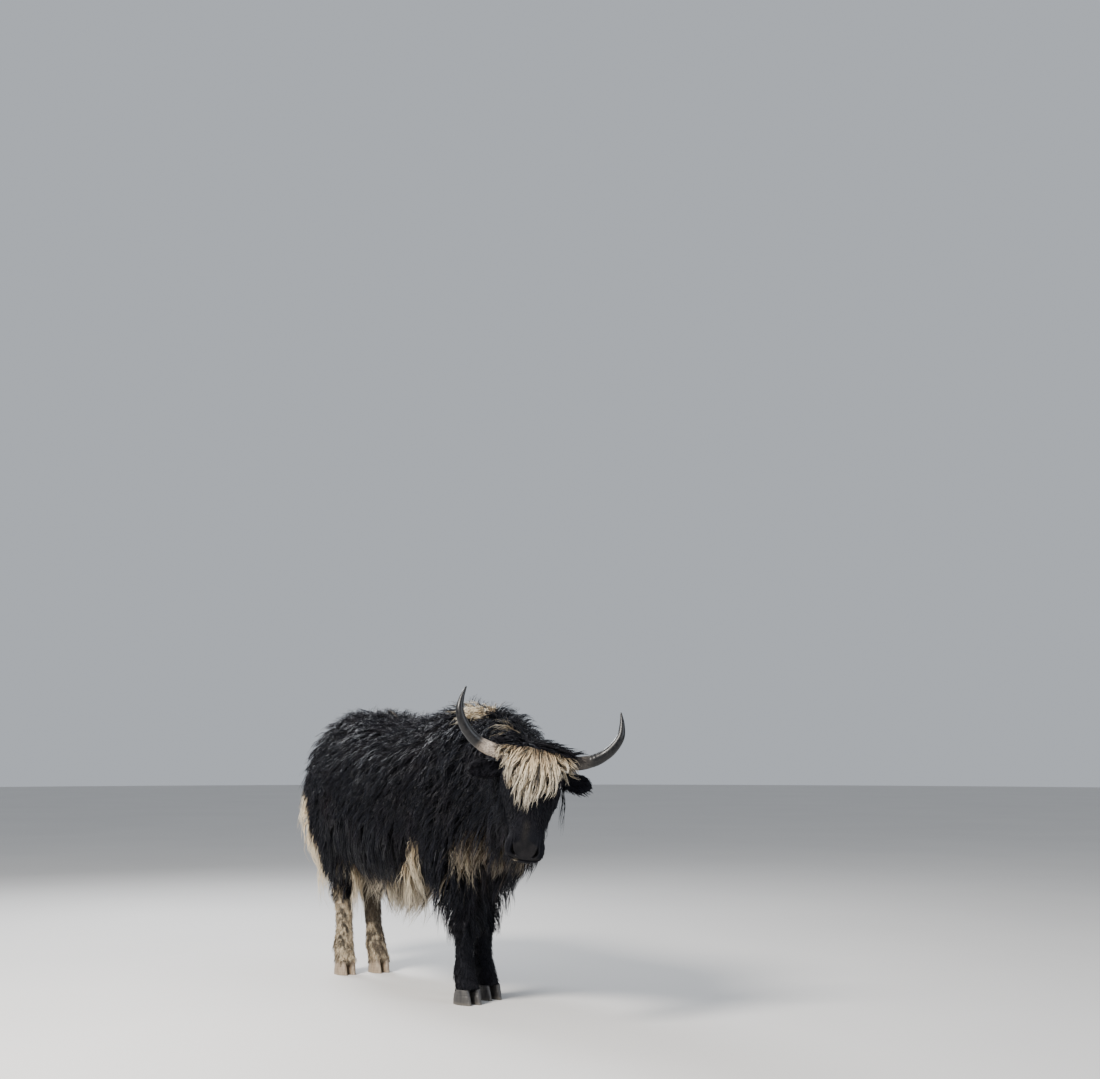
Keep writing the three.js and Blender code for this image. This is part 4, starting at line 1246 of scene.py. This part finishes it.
skin_places, skin_normals = places_of(skin.data), normals_of(skin.data)
lengths = body_length(
    skin_places, body_regions(skin_places, skin_normals), body_marks(skin_places, skin_normals)[:, 0]
)
print("hair is from", lengths.min().round(3), "to", lengths.max().round(3), "metres long")

# %% [markdown]
# ## The coat of the body
# No two locks are alike, so each size is drawn at random round its rule. Pale hair is wavier than black
# hair, and locks are narrower on the shanks. The whole coat could be a particle system, but its hairs are
# curves that don't export. Tufts of mesh do. The shanks get short hair of their own, dense enough to hide
# the skin.

# %% The coat of the body
def body_style(places, normals):
    count = len(places)
    r = body_regions(places, normals)
    pale = body_marks(places, normals)[:, 0]
    lift = blend(0.42, (r["top"], 0.8), (r["neck"], 0.5), (r["skirt"], 0.4), (r["under"], 1.15))
    lift = blend(lift, (r["chest"], 0.75), (r["leg"], 0.45), (r["elbow"], 1.1), (r["outer"], 0.95))
    lift = blend(lift, (r["shank"], 0.38), (r["beside_head"], 0.15))
    droop = blend(0.16, (r["top"], 0.06), (r["skirt"], 0.45), (r["under"], 0.7), (r["chest"], 0.45))
    droop = blend(droop, (r["leg"], 0.4), (r["elbow"], 0.5))
    cling = blend(0.12, (r["top"], 0.05), (np.maximum(r["skirt"], r["leg"]), 0.0), (r["shank"], 0.3))
    return {
        "lie": body_lie(places, r),
        "layer": body_layer(places, r, pale) * random.uniform(0.3, 1, count),
        "length": body_length(places, r, pale) * random.uniform(0.8, 1.15, count),
        "lift": np.clip(lift + random.normal(0, 0.14, count), 0.08, 1.3),
        "droop": droop,
        "cling": cling * ~r["tail"],
        "width": blend(0.0074, (r["leg"], 0.006), (r["shank"], 0.0042)) * random.uniform(0.55, 1.25, count),
        "clump": np.clip(blend(0.66, (r["shank"], 0.5)) + random.normal(0, 0.14, count), 0, 0.95),
        "wave": blend(0.010, (pale, 0.013), (r["shank"], 0.002 + 0.003 * pale)),
        "turns": 0.8 + 0.5 * pale,
        "curl": 0.011 * (1 - r["shank"])[:, None],
        "bends": 0.9,
    }


coat_pieces = grow("coat", body_hide, body_density, body_style, body_marks, 6, body_part)
coat_pieces += grow(
    "shank_hair", body_hide, shank_density, body_style, body_marks, 4, guide_share=0.4, sunk=0.001
)

# %% [markdown]
# ## Loose wool
# A coat that is only made of locks looks combed. Fine single wisps that stand out further, with no lock to
# close on, break its outline and catch the light on their own. They take the coat's own sizes and change a
# few of them, because a second set of rules would drift away from the first.

# %% Wisps
def wisp_style(places, normals):
    look = body_style(places, normals)
    count = len(places)
    stray = unit(random.normal(size=(count, 3)))
    look["lie"] = unit(look["lie"] + 0.5 * stray)
    look["length"] = look["length"] * 0.72
    look["lift"] = np.clip(look["lift"] + 0.35, 0, 1.4)
    look["layer"] = look["layer"] + 0.022
    look["width"] = look["width"] * 0.5
    look["clump"] = np.full(count, 0.15)
    look["wave"] = look["wave"] * 1.3
    return look


def wisp_density(places, normals):
    r = body_regions(places, normals)
    return 2100.0 * (1 - r["shank"]) * (1 - r["beside_head"]) * ~r["tail"] * (places[:, 2] > 0.3)


coat_pieces += grow("wisps", body_hide, wisp_density, wisp_style, body_marks, 5)

# %% [markdown]
# ## Parts of the face
# Face hair is a centimetre long on the muzzle and up to a finger long on the jaw. None grows on the pad
# between the nostrils and the lips, or on the eyeballs. Ears, crest and brow are told apart by their place
# in a frame that turns with the head but doesn't pitch with the face.

# %% Parts of the face
OUT_OF_BROW = np.array(face_turn)[:3, 0]
SIDEWAYS = np.array(face_turn)[:3, 1]


def bare_muzzle(head):
    """The hairless pad between the nostrils and the lips, from 0 to 1, at places in the head's frame."""
    half = np.abs(head[:, 1])
    top = 424 + 0.006 * half**2
    lip = mouth_level(head[:, 0])
    pad = smooth_step(top, top + 12, head[:, 0]) * smooth_step(58, 50, half) * (head[:, 2] > lip)
    return np.clip(np.maximum(pad, bell(head[:, 2], lip, 6) * smooth_step(388, 400, head[:, 0])), 0, 1)


def face_regions(places):
    """Places in the head's frame and in the level one, and which are on an ear or on the crest's brim."""
    head = move(to_head, places) / MM
    level = (places - np.array(POLL)) @ np.array(face_turn)[:3, :3] / MM
    ear = (np.abs(level[:, 1]) > 118) & (level[:, 2] < -20) & (level[:, 0] < 30)
    brim = (np.abs(level[:, 1]) > 88) & (level[:, 2] > -14) & (level[:, 0] < 60) & ~ear
    return head, level, ear, brim


def face_density(places, normals):
    head, _, ear, _ = face_regions(places)
    eye = np.linalg.norm(mirrored(head) - (EYE_DOWN, EYE_OUT + 14, EYE_ABOVE), axis=1)
    dense = blend(16000.0, (smooth_step(280, 420, head[:, 0]), 30000))
    cup = ear & (normals @ OUT_OF_BROW > 0.5)
    dense = dense * smooth_step(19, 26, eye) * (1 - bare_muzzle(head)) * (head[:, 0] > -75)
    return dense * np.where(cup, 0.9, np.where(ear, 1.8, 1))


print("sideways from the head", SIDEWAYS.round(3))

# %% [markdown]
# ## Short hair on the face and ears
# This hair lies flat and runs down the face. It turns outward on the ears, fringes their lower edge and
# stands up in a black crest between the horns. It grows with the same function as the coat, only shorter,
# finer and with more guides, because on a face the hair changes its way within a few centimetres.

# %% Short hair on the face and ears
def face_style(places, normals):
    head, level, ear, brim = face_regions(places)
    down, out, above = head.T
    count = len(places)
    muzzle = smooth_step(280, 420, down)
    jaw = smooth_step(-50, -115, above) * smooth_step(340, 200, down)
    fringe = ear & (normals[:, 2] < -0.3)
    mane = (down < mane_edge(out) + 9) & (level[:, 2] > 0) & ~ear
    lie = np.c_[np.full(count, 1.0), 0.3 * np.tanh(out / 30), np.where(above < -30, -0.6, -0.1)]
    lie = lie @ from_head[:3, :3].T
    outward = SIDEWAYS * np.sign(level[:, 1:2])
    lie = np.where(ear[:, None], outward + 0.6 * DOWN, lie)
    lie = np.where(brim[:, None], outward + 0.15 * DOWN, lie)
    aside = unit(SIDEWAYS * np.tanh(level[:, 1:2] / 40 + 0.8) + 0.3 * DOWN + 0.25 * from_head[:3, 0])
    lie = np.where(mane[:, None], aside, lie)
    length = np.where((out > 0) & (above < 0), 0.022, 0.034)
    length = blend(length, (muzzle, 0.010), (jaw, np.where(out > 0, 0.02, 0.09)))
    length = np.where(brim, 0.06, np.where(fringe, 0.04, np.where(ear, 0.022, length)))
    length = np.where(mane, blend(0.085, (smooth_step(-30, 50, level[:, 1]), 0.10)), length)
    layer = np.where(ear, 0.007, blend(0.010, (muzzle, 0.003), (jaw, 0.02), (mane, 0.04)))
    width = blend(0.0044, (muzzle, 0.0024), (jaw, 0.006), (mane, 0.0065))
    return {
        "lie": unit(lie),
        "lie_end": np.where(mane[:, None], unit(lie + DOWN), unit(lie)),
        "length": length * random.uniform(0.7, 1.2, count),
        "lift": np.where(mane | ear, 0.4, 0.36) + random.normal(0, 0.1, count),
        "droop": np.where(fringe, 0.5, 0.05 + 0.4 * jaw * (out < 0)),
        "layer": layer * random.uniform(0.4, 1, count),
        "cling": 0.3 * (1 - jaw) * ~mane,
        "width": width * random.uniform(0.7, 1.2, count),
        "clump": np.where(mane, 0.7, 0.4),
        "wave": blend(0.0014, (jaw, 0.005), (mane, 0.004)),
        "turns": np.full(count, 0.8),
        "curl": blend(0.0, (mane, 0.006))[:, None],
        "bends": 0.8,
    }


face_pieces = grow(
    "face_hair", face_hide, face_density, face_style, face_marks, 4, guide_share=0.4, sunk=0.0008
)

# %% [markdown]
# ## Where the forelock grows
# What one sees first is the pale forelock. It springs from the poll between the horns, fans out over the
# brow and draws in to a point half way down the face. That shape is given as an edge: where a strand ends
# that is rooted so far to one side. Hair that only follows the forehead would spread out evenly instead.

# %% Edge and roots of the forelock
EDGE = [  # how far to the left a strand is rooted, and where it ends: down the face and to the left
    (-120, 72, -128),
    (-104, 98, -112),
    (-90, 134, -100),
    (-76, 172, -92),
    (-60, 214, -86),
    (-40, 270, -80),
    (-20, 318, -64),
    (0, 352, -34),
    (25, 324, -4),
    (48, 262, 36),
    (68, 205, 70),
    (88, 145, 94),
    (104, 110, 132),
    (120, 90, 150),
]


def strand_height(places):
    """From 0 for the strands that lie on the brow to 1 for those on top."""
    return np.clip(0.5 + 0.5 * noise_at(places, 0.008, 8), 0, 1)


def forelock_density(places, normals):
    down, out, above = move(to_head, places).T / MM
    brow = np.hypot((down - 25) / 105, out / 122) < 1
    wings = (np.abs(out) < 146) & (down < mane_edge(out) + 46)
    return 50000.0 * (brow | wings) * (above > 5) * (down > mane_edge(out))


def forelock_marks_with_shade(places, normals):
    # The pale forelock is its own colour; the lowest strands are dark and tan as painted shade.
    height = strand_height(places)
    pale = 0.04 + 0.96 * smooth_step(0.30, 0.52, height)
    return np.c_[pale, np.where(height < 0.3, 1.0, 0.45)]


print("the forelock hangs", max(row[1] for row in EDGE), "mm down the face")

# %% [markdown]
# ## Forelock
# Its strands are thinner and wavier than the coat's. Each one is led from its root to its own place on the
# edge, and keeps close over the forehead. Some end early, which frays the edge. At both sides a wing of
# hair hangs down freely beside the horns' roots. Strands that lie lowest are painted dark and tan, as
# painted shade under the pale ones on top, so those stand out.

# %% Forelock
def forelock_style(places, normals):
    count = len(places)
    root = move(to_head, places) / MM
    down, out, _ = root.T
    rooted, end_down, end_out = np.array(EDGE, float).T
    tip = np.c_[np.interp(out, rooted, end_down), np.interp(out, rooted, end_out), np.full(count, 50)]
    height = strand_height(places)
    short = random.gamma(1.5, 0.04 + 0.07 * height, count).clip(0, 0.6)
    tip = root + (tip - root) * (1 - short)[:, None]
    tip[:, 0] = np.maximum(tip[:, 0], down + 45)
    reach = tip - root
    fan = 0.45 * smooth_step(120, -20, down) * np.tanh(out / 60)
    lie = unit(reach) + np.c_[np.zeros(count), fan, np.zeros(count)]
    wing = np.where(out < 0, smooth_step(112, 124, -out), smooth_step(96, 118, out))
    wing_length = random.uniform(0.6, 1, count) * np.where(out < 0, 0.095, 0.11)
    aside = SIDEWAYS * np.where(out < 0, -0.7, 1)[:, None]
    hanging = places + aside * 0.05 + DOWN * 0.10 + from_head[:3, 2] * 0.03
    lift = blend(0.4, (smooth_step(35, 0, down), 0.12))
    return {
        "lie": unit(blend(lie @ from_head[:3, :3].T, (wing[:, None], unit(aside + 0.5 * DOWN)))),
        "aim": blend(move(from_head, tip * MM), (wing[:, None], hanging)),
        "length": blend(np.linalg.norm(reach, axis=1) * MM * 1.12, (wing, wing_length)),
        "lift": np.clip(lift + random.normal(0, 0.1, count), 0.05, 1.0),
        "droop": 0.2 * wing,
        "layer": blend(0.004 + 0.034 * height, (wing, 0.012 + 0.024 * height)),
        "cling": 0.45 * (1 - wing),
        "width": random.uniform(0.0026, 0.0056, count),
        "clump": np.clip(random.normal(0.89, 0.08, count), 0, 0.98),
        "wave": random.uniform(0.003, 0.008, count),
        "turns": random.uniform(1.0, 1.9, count),
        "curl": blend(0.010, (wing, 0.004))[:, None],
        "bends": 1.1,
    }


forelock_pieces = grow(
    "forelock", face_hide, forelock_density, forelock_style, forelock_marks_with_shade, 9, guide_share=0.06
)

# %% [markdown]
# ## A loose strand under the left ear
# One long black strand hangs from the lower edge of the left ear. It is a coat of its own with a very small
# field, and every size in it is one number, so that the tufts stay together as one strand.

# %% A loose strand under the left ear
STRAND_FIELD = 0.008
STRAND = {
    "length": 0.22,
    "lift": 1.2,
    "droop": 2.0,
    "layer": 0.01,
    "cling": 0.0,
    "width": 0.0045,
    "clump": 0.95,
    "wave": 0.003,
    "turns": 1.0,
}
strand_root = ear_tube(EAR, 1).surface(np.array([0.30]), np.array([math.radians(-90)]))[0]


def strand_density(places, normals):
    return 90000.0 * (np.linalg.norm(places - strand_root, axis=1) < STRAND_FIELD)


def strand_style(places, normals):
    count = len(places)
    look = {name: np.full(count, value) for name, value in STRAND.items()}
    return look | {"lie": np.tile(DOWN, (count, 1)), "curl": np.full((count, 1), 0.008), "bends": 1.2}


def plain_black(places, normals):
    return np.zeros((len(places), 2))


face_pieces += grow("ear_strand", face_hide, strand_density, strand_style, plain_black, 9, guide_share=0.08)

# %% [markdown]
# ## Small helpers for finishes
# A finish is a tree of nodes. Each node could be added and wired by hand in the shader editor. In a script
# that takes many lines, so a few helpers do it: one sets or links a socket, and the others add the kinds of
# nodes that these finishes use most.

# %% Node helpers
def feed(tree, socket, value):
    """Sets a socket to a value, or links it to the socket that the value comes from."""
    if isinstance(value, bpy.types.NodeSocket):
        tree.links.new(value, socket)
    else:
        socket.default_value = value


def add_node(tree, kind, **inputs):
    """A node with the given values, or sockets to take them from."""
    node = tree.nodes.new(kind)
    for key, value in inputs.items():
        feed(tree, node.inputs[key.replace("_", " ")], value)
    return node


def mix_colour(tree, share, a, b):
    node = tree.nodes.new("ShaderNodeMix")
    node.data_type = "RGBA"
    feed(tree, node.inputs[0], share)
    for socket, colour in ((node.inputs[6], a), (node.inputs[7], b)):
        feed(tree, socket, (*colour, 1) if isinstance(colour, tuple) else colour)
    return node.outputs[2]


def maths(tree, way, *values):
    node = tree.nodes.new("ShaderNodeMath")
    node.operation = way
    for socket, value in zip(node.inputs, values):
        feed(tree, socket, value)
    return node.outputs[0]


def spread_of(tree, value, low, high, to_low=0.0, to_high=1.0):
    """Brings a value that runs from low to high to another range, and keeps it in there."""
    ends = {"From_Min": low, "From_Max": high, "To_Min": to_low, "To_Max": to_high}
    return add_node(tree, "ShaderNodeMapRange", Value=value, **ends).outputs["Result"]


def object_place(tree):
    return tree.nodes.new("ShaderNodeTexCoord").outputs["Object"]


def noise(tree, scale, detail=3.0, stretch=(1, 1, 1)):
    place = add_node(tree, "ShaderNodeMapping", Vector=object_place(tree), Scale=stretch).outputs[0]
    return add_node(tree, "ShaderNodeTexNoise", Vector=place, Scale=scale, Detail=detail).outputs["Fac"]


def attribute(tree, name):
    """What each point of the mesh carries under a name."""
    node = tree.nodes.new("ShaderNodeAttribute")
    node.attribute_name = name
    return node.outputs


def bump(tree, shader, height, strength, distance):
    node = add_node(tree, "ShaderNodeBump", Strength=strength, Distance=distance, Height=height)
    tree.links.new(node.outputs[0], shader.inputs["Normal"])


def new_finish(name, **settings):
    """A finish with these settings of its shader."""
    finish = bpy.data.materials.new(name)
    finish.use_nodes = True
    tree = finish.node_tree
    shader = tree.nodes["Principled BSDF"]
    for key, value in settings.items():
        feed(tree, shader.inputs[key.replace("_", " ")], value)
    return finish, tree, shader


print("node helpers ready, finishes so far", len(bpy.data.materials))

# %% [markdown]
# ## The colours of the hair
# Each tuft carries four marks: how pale and how warm it is, how far along it one is, and a number of its
# own. One node group turns them into a colour, and the skin and every coat share it, so they can't differ.
# It darkens the roots with painted shade, where little light reaches: black to its darkest, cream towards
# tan. It fades the tips a little, as sun does, and gives each tuft its own tone. The black's blue tint is a
# painted reflection of the sky, and the group's one input darkens the whole colour as painted shade.

# %% Hair colours
# The blue tint of the black is a painted reflection of the sky; its root colour is darker as painted shade.
BLACK_ROOT_IN_SHADE, BLACK_TIP_SKY_SHEEN = (0.002, 0.0022, 0.0038), (0.007, 0.0084, 0.0155)
BROWN_BLACK = (0.020, 0.012, 0.014)
# The tan is the chest's own colour, and also painted shade at the roots of pale hair and under the forelock.
CREAM, WHITE, TAN_AND_SHADE = (0.70, 0.57, 0.37), (0.94, 0.86, 0.70), (0.20, 0.108, 0.06)

group = bpy.data.node_groups.new("hair colours", "ShaderNodeTree")
group.interface.new_socket("Depth", in_out="INPUT", socket_type="NodeSocketFloat")
group.interface.new_socket("Color", in_out="OUTPUT", socket_type="NodeSocketColor")
group.interface.new_socket("Pale", in_out="OUTPUT", socket_type="NodeSocketFloat")
depth = group.nodes.new("NodeGroupInput").outputs["Depth"]
result = group.nodes.new("NodeGroupOutput").inputs
marks = attribute(group, "marks")
pale, warm, along = add_node(group, "ShaderNodeSeparateColor", Color=marks["Color"]).outputs
own = marks["Alpha"]
tip = maths(group, "MULTIPLY", along, maths(group, "MULTIPLY_ADD", own, 0.8, 0.4))
brownish = maths(
    group, "MULTIPLY", spread_of(group, noise(group, 5.0), 0.45, 0.7), spread_of(group, own, 0.3, 1.0)
)
# Painted shade: black hair darkens towards the root, where little light reaches.
dark = mix_colour(group, tip, BLACK_ROOT_IN_SHADE, BLACK_TIP_SKY_SHEEN)
dark = mix_colour(group, maths(group, "MULTIPLY", brownish, along), dark, BROWN_BLACK)
light = mix_colour(group, spread_of(group, along, 0.3, 1.0), CREAM, WHITE)
light = mix_colour(group, maths(group, "MULTIPLY", warm, spread_of(group, own, 0.1, 1.0)), light, TAN_AND_SHADE)
# Painted shade: pale hair turns tan towards the root, where the locks shade each other.
light = mix_colour(group, spread_of(group, along, 0.0, 0.5, 0.55, 0.0), light, TAN_AND_SHADE)
whole = mix_colour(group, pale, dark, light)
# The depth darkens the whole colour towards black, as painted shade under the hair.
feed(group, result["Color"], mix_colour(group, depth, whole, (0.0, 0.0, 0.0)))
feed(group, result["Pale"], pale)
print("hair colours", len(group.nodes), "nodes")

# %% [markdown]
# ## Long and short hair
# Hair is rough with a weak gloss, and black hair a little glossier than cream. A tuft stands for many
# hairs, so a fine noise that is stretched along it makes their ridges. A picture could do that too, but
# would need an unwrap that follows every tuft.

# %% Finishes of the hair
def hair_look(tree, depth):
    """The outputs of the hair's colours, darkened towards black by the depth, as painted shade."""
    node = add_node(tree, "ShaderNodeGroup")
    node.node_tree = group
    node.inputs["Depth"].default_value = depth
    return node.outputs


def fibres(tree):
    return noise(tree, 420.0, 2.0, (1, 1, 0.12))


hair_finish, tree, shader = new_finish(
    "long_hair", Specular_IOR_Level=0.16, Sheen_Weight=0.03, Sheen_Roughness=0.4
)
colours = hair_look(tree, 0.0)
feed(tree, shader.inputs["Base Color"], colours["Color"])
feed(tree, shader.inputs["Roughness"], spread_of(tree, colours["Pale"], 0, 1, 0.42, 0.62))
bump(tree, shader, fibres(tree), 0.35, 0.001)

short_finish, tree, shader = new_finish("short_hair", Roughness=0.6, Specular_IOR_Level=0.15)
# Short hair is darkened a little, as painted shade.
feed(tree, shader.inputs["Base Color"], hair_look(tree, 0.1)["Color"])
bump(tree, shader, fibres(tree), 0.35, 0.001)
print("hair finishes", hair_finish.name, short_finish.name)

# %% [markdown]
# ## Hide and muzzle
# Between the tufts one sees woolly underhair. The hide gets the same colours as the coat, darkened by
# painted shade, as it lies under the hair. The pad of the muzzle is bare, nearly black and damp. It has no
# border of its own in the mesh: a number named bare blends its colour, gloss and pebbles in.

# %% Hide and muzzle
hide_finish, tree, shader = new_finish("woolly_hide", Roughness=0.85, Specular_IOR_Level=0.2)
# The hide is darkened by painted shade, as it lies under the hair.
feed(tree, shader.inputs["Base Color"], hair_look(tree, 0.35)["Color"])
bump(tree, shader, noise(tree, 160.0, 5.0, (1, 1, 0.3)), 0.8, 0.006)

face_finish, tree, shader = new_finish("face_hide", Specular_IOR_Level=0.14)
bare = attribute(tree, "bare")["Fac"]
muzzle = mix_colour(
    tree, spread_of(tree, noise(tree, 30.0), 0.35, 0.7), (0.004, 0.004, 0.0048), (0.012, 0.011, 0.012)
)
# The face's hide is darkened more by painted shade under its short hair.
feed(tree, shader.inputs["Base Color"], mix_colour(tree, bare, hair_look(tree, 0.4)["Color"], muzzle))
feed(tree, shader.inputs["Roughness"], spread_of(tree, bare, 0, 1, 0.85, 0.38))
pebbles = add_node(tree, "ShaderNodeTexVoronoi", Vector=object_place(tree), Scale=260.0).outputs["Distance"]
pebbles = maths(tree, "MULTIPLY", spread_of(tree, pebbles, 0.1, 0.7, 0.5, 0.0), bare)
fur = maths(tree, "MULTIPLY", noise(tree, 300.0, 4.0, (1, 1, 0.4)), 0.5)
bump(tree, shader, maths(tree, "ADD", fur, pebbles), 0.5, 0.0015)


def paint_marks(obj, rule):
    """Writes the marks of the coat on a skin, with the middle of a tuft's other two numbers."""
    mesh = obj.data
    colour = np.full((len(mesh.vertices), 4), 0.5, np.float32)
    colour[:, :2] = rule(places_of(mesh), normals_of(mesh))
    mesh.attributes.new("marks", "FLOAT_COLOR", "POINT").data.foreach_set("color", colour.ravel())


paint_marks(skin, body_marks)
paint_marks(face, face_marks)
head_places = move(to_head, places_of(face.data)) / MM
off_lip_spot = smooth_step(6, 14, np.linalg.norm(head_places - LIP_SPOT, axis=1))
write_values(face.data, "bare", bare_muzzle(head_places) * off_lip_spot)
skin.data.materials.append(hide_finish)
face.data.materials.append(face_finish)
print("bare points on the face", int((read_values(face.data, "bare") > 0.5).sum()))

# %% [markdown]
# ## What each piece stands for
# The tufts get their finish, every soft piece rides on the root, and the two skins take the place of the
# solids of flesh. Nothing moves on this model, so all of it rides on one node.

# %% Slots and replaced solids
for piece in coat_pieces + face_pieces + forelock_pieces:
    piece.data.materials.append(short_finish if piece.name.startswith(("face", "shank")) else hair_finish)
for piece in (skin, face):
    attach(piece, "root")
legs = [leg + half for leg in FEET for half in ("_upper", "_lower")]
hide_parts("torso_rear", "torso_middle", "torso_front", "neck", "tail", *legs)
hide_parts("head", "ear_left", "ear_right")
print("pieces of hair", len(coat_pieces + face_pieces + forelock_pieces))

# %% [markdown]
# ## The look of an eye
# A yak's eye is dark brown with a wide black pupil that lies level, and a little pale pink shows in the
# corners. The rings could be faces of their own, but a number named iris that grows from the pupil outward
# gives soft borders. The clear wet coat over it makes the highlight.

# %% Eyes' finish
eye_finish, tree, shader = new_finish("dark_eye", Roughness=0.06, Coat_Weight=1.0, Coat_Roughness=0.02)
iris = attribute(tree, "iris")["Fac"]
ring = (0.002, 0.002, 0.003)
for start, end, colour in (
    (0.36, 0.42, (0.035, 0.016, 0.007)),
    (0.62, 0.74, (0.004, 0.003, 0.003)),
    (0.84, 0.95, (0.20, 0.15, 0.13)),
):
    ring = mix_colour(tree, spread_of(tree, iris, start, end), ring, colour)
feed(tree, shader.inputs["Base Color"], ring)
for eye, side in zip(eyes, (1, -1)):
    ball = (move(to_head, places_of(eye.data)) / MM - (EYE_DOWN, side * EYE_OUT, EYE_ABOVE)) / EYE_RADIUS
    wide = np.hypot(ball[:, 0] * 0.8, ball[:, 2] * 1.25)
    write_values(eye.data, "iris", np.where(ball[:, 1] * side > 0, np.clip(wide, 0, 1), 1.0))
    eye.data.materials.append(eye_finish)
print("eye finish", len(tree.nodes), "nodes")

# %% [markdown]
# ## The look of horn
# Horn is black and smooth where it is new, streaked with grey, and pale and scaly where it is worn. The
# right horn's base is worn all round, the left one's hardly. A second number, named pale_base, says where
# the worn colour may show, and noise breaks its edge, so the same finish serves both horns.

# %% Horns' finish
horn_finish, tree, shader = new_finish("horn", Specular_IOR_Level=0.3, Coat_Weight=0.05, Coat_Roughness=0.25)
streaks, scales = noise(tree, 60.0, 4.0), noise(tree, 150.0)
along = attribute(tree, "along")["Fac"]
body = mix_colour(tree, spread_of(tree, along, 0.25, 0.9), (0.006, 0.006, 0.007), (0.004, 0.004, 0.005))
body = mix_colour(tree, spread_of(tree, streaks, 0.45, 0.8), body, (0.018, 0.017, 0.0165))
worn = mix_colour(tree, spread_of(tree, scales, 0.40, 0.62), (0.50, 0.42, 0.34), (0.22, 0.18, 0.15))
showing = maths(
    tree, "MULTIPLY", attribute(tree, "pale_base")["Fac"], spread_of(tree, streaks, 0.3, 0.5, 0.75, 1.0)
)
feed(tree, shader.inputs["Base Color"], mix_colour(tree, showing, body, worn))
feed(tree, shader.inputs["Roughness"], spread_of(tree, streaks, 0.3, 0.7, 0.28, 0.46))
bump(tree, shader, streaks, 0.25, 0.001)
for horn, share in zip(horns, (0.12, 1.0)):
    along = read_values(horn.data, "along")
    write_values(horn.data, "pale_base", share * (1 - smooth_step(0.29, 0.42, along)))
    horn.data.materials.append(horn_finish)
print("horn finish", len(tree.nodes), "nodes")

# %% [markdown]
# ## The look of hooves
# A claw's wall grows downward in bands, so they follow the number along, with a noise that is stretched
# upward for its grain. The front claws are nearly black and the hind ones brown, as the legs above them are
# dark and pale. The worn lower edge is lighter.

# %% Hooves' finish
hoof_finish, tree, shader = new_finish("hoof")
along = attribute(tree, "along")["Fac"]
bands = maths(tree, "SINE", maths(tree, "MULTIPLY", along, 30.0))
bands = maths(tree, "MULTIPLY_ADD", bands, 0.04, noise(tree, 130.0, 5.0, (1, 1, 0.16)))
banded = spread_of(tree, bands, 0.3, 0.75)
wall = mix_colour(tree, banded, (0.022, 0.021, 0.022), (0.056, 0.052, 0.048))
wall = mix_colour(tree, spread_of(tree, along, 0.75, 1.0, 0.0, 0.6), wall, (0.13, 0.115, 0.095))
brown = mix_colour(tree, banded, (0.20, 0.145, 0.10), (0.38, 0.30, 0.21))
feed(tree, shader.inputs["Base Color"], mix_colour(tree, attribute(tree, "pale_base")["Fac"], wall, brown))
feed(tree, shader.inputs["Roughness"], spread_of(tree, bands, 0.2, 0.9, 0.4, 0.6))
bump(tree, shader, bands, 0.3, 0.0012)
for piece in hooves + [dewclaws]:
    write_values(piece.data, "pale_base", 0.85 * smooth_step(0, -0.2, places_of(piece.data)[:, 0]))
    piece.data.materials.append(hoof_finish)
print("hoof finish", len(tree.nodes), "nodes")

# %% [markdown]
# ## Floor and light
# A pale floor that runs out of sight, and a pale surrounding that lights the coat from all sides. Black
# hair shows its shape only by its gloss, so a large soft light stands high on the left, as the sun does in
# the photograph, with a weaker one on the right and one behind to draw the outline.

# %% Floor and lights
bm = bmesh.new()
bmesh.ops.create_circle(bm, cap_ends=True, segments=96, radius=40)
floor = new_object("floor", bm)
floor_finish, tree, shader = new_finish("pale_floor", Roughness=0.7)
soft = spread_of(tree, noise(tree, 0.6, 2.0), 0.2, 0.8)
feed(tree, shader.inputs["Base Color"], mix_colour(tree, soft, (0.56, 0.55, 0.54), (0.60, 0.59, 0.575)))
floor.data.materials.append(floor_finish)
floor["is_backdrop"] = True

world = bpy.data.worlds.new("pale surrounding")
world.use_nodes = True
background = world.node_tree.nodes["Background"]
background.inputs["Color"].default_value = (0.80, 0.85, 0.92, 1)
background.inputs["Strength"].default_value = 0.6
bpy.context.scene.world = world

centre = Vector((0.25, 0, 0.75))
towards_camera = Vector((camera.location.x, camera.location.y, 0)).normalized()
to_left = towards_camera.cross(Vector((0, 0, 1)))
for name, left, front, up, size, power, tint in (
    ("key", 3.8, 3.4, 4.6, 2.0, 1150, (1.0, 0.95, 0.88)),
    ("fill", -4.5, 3.5, 2.4, 3.0, 130, (0.86, 0.92, 1.0)),
    ("rim", 2.5, -4.5, 3.8, 2.0, 420, (0.93, 0.96, 1.0)),
):
    light = bpy.data.lights.new(name, "AREA")
    light.shape, light.size, light.energy, light.color = "DISK", size, power, tint
    lamp = add_to_scene(name, light)
    lamp.location = centre + to_left * left + towards_camera * front + Vector((0, 0, up))
    lamp.rotation_euler = (centre - lamp.location).to_track_quat("-Z", "Y").to_euler()
    print(name, "light at", [round(v, 2) for v in lamp.location])

# %% [markdown]
# ## Measure and finish
# The dressed yak is measured against its solids. Hair may stand out a little past them, but not far,
# because the solids are what other things will touch.

# %% Measure and finish
dressed_box = [list(corner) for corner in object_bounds()]
grown = [[round((b - a) * 1000) for a, b in zip(*pair)] for pair in zip(cad_box, dressed_box)]
print("visual box against solids, mm", grown)
count = sum(len(p.vertices) - 2 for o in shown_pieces() for p in o.data.polygons if o.type == "MESH")
print("triangles shown", count)
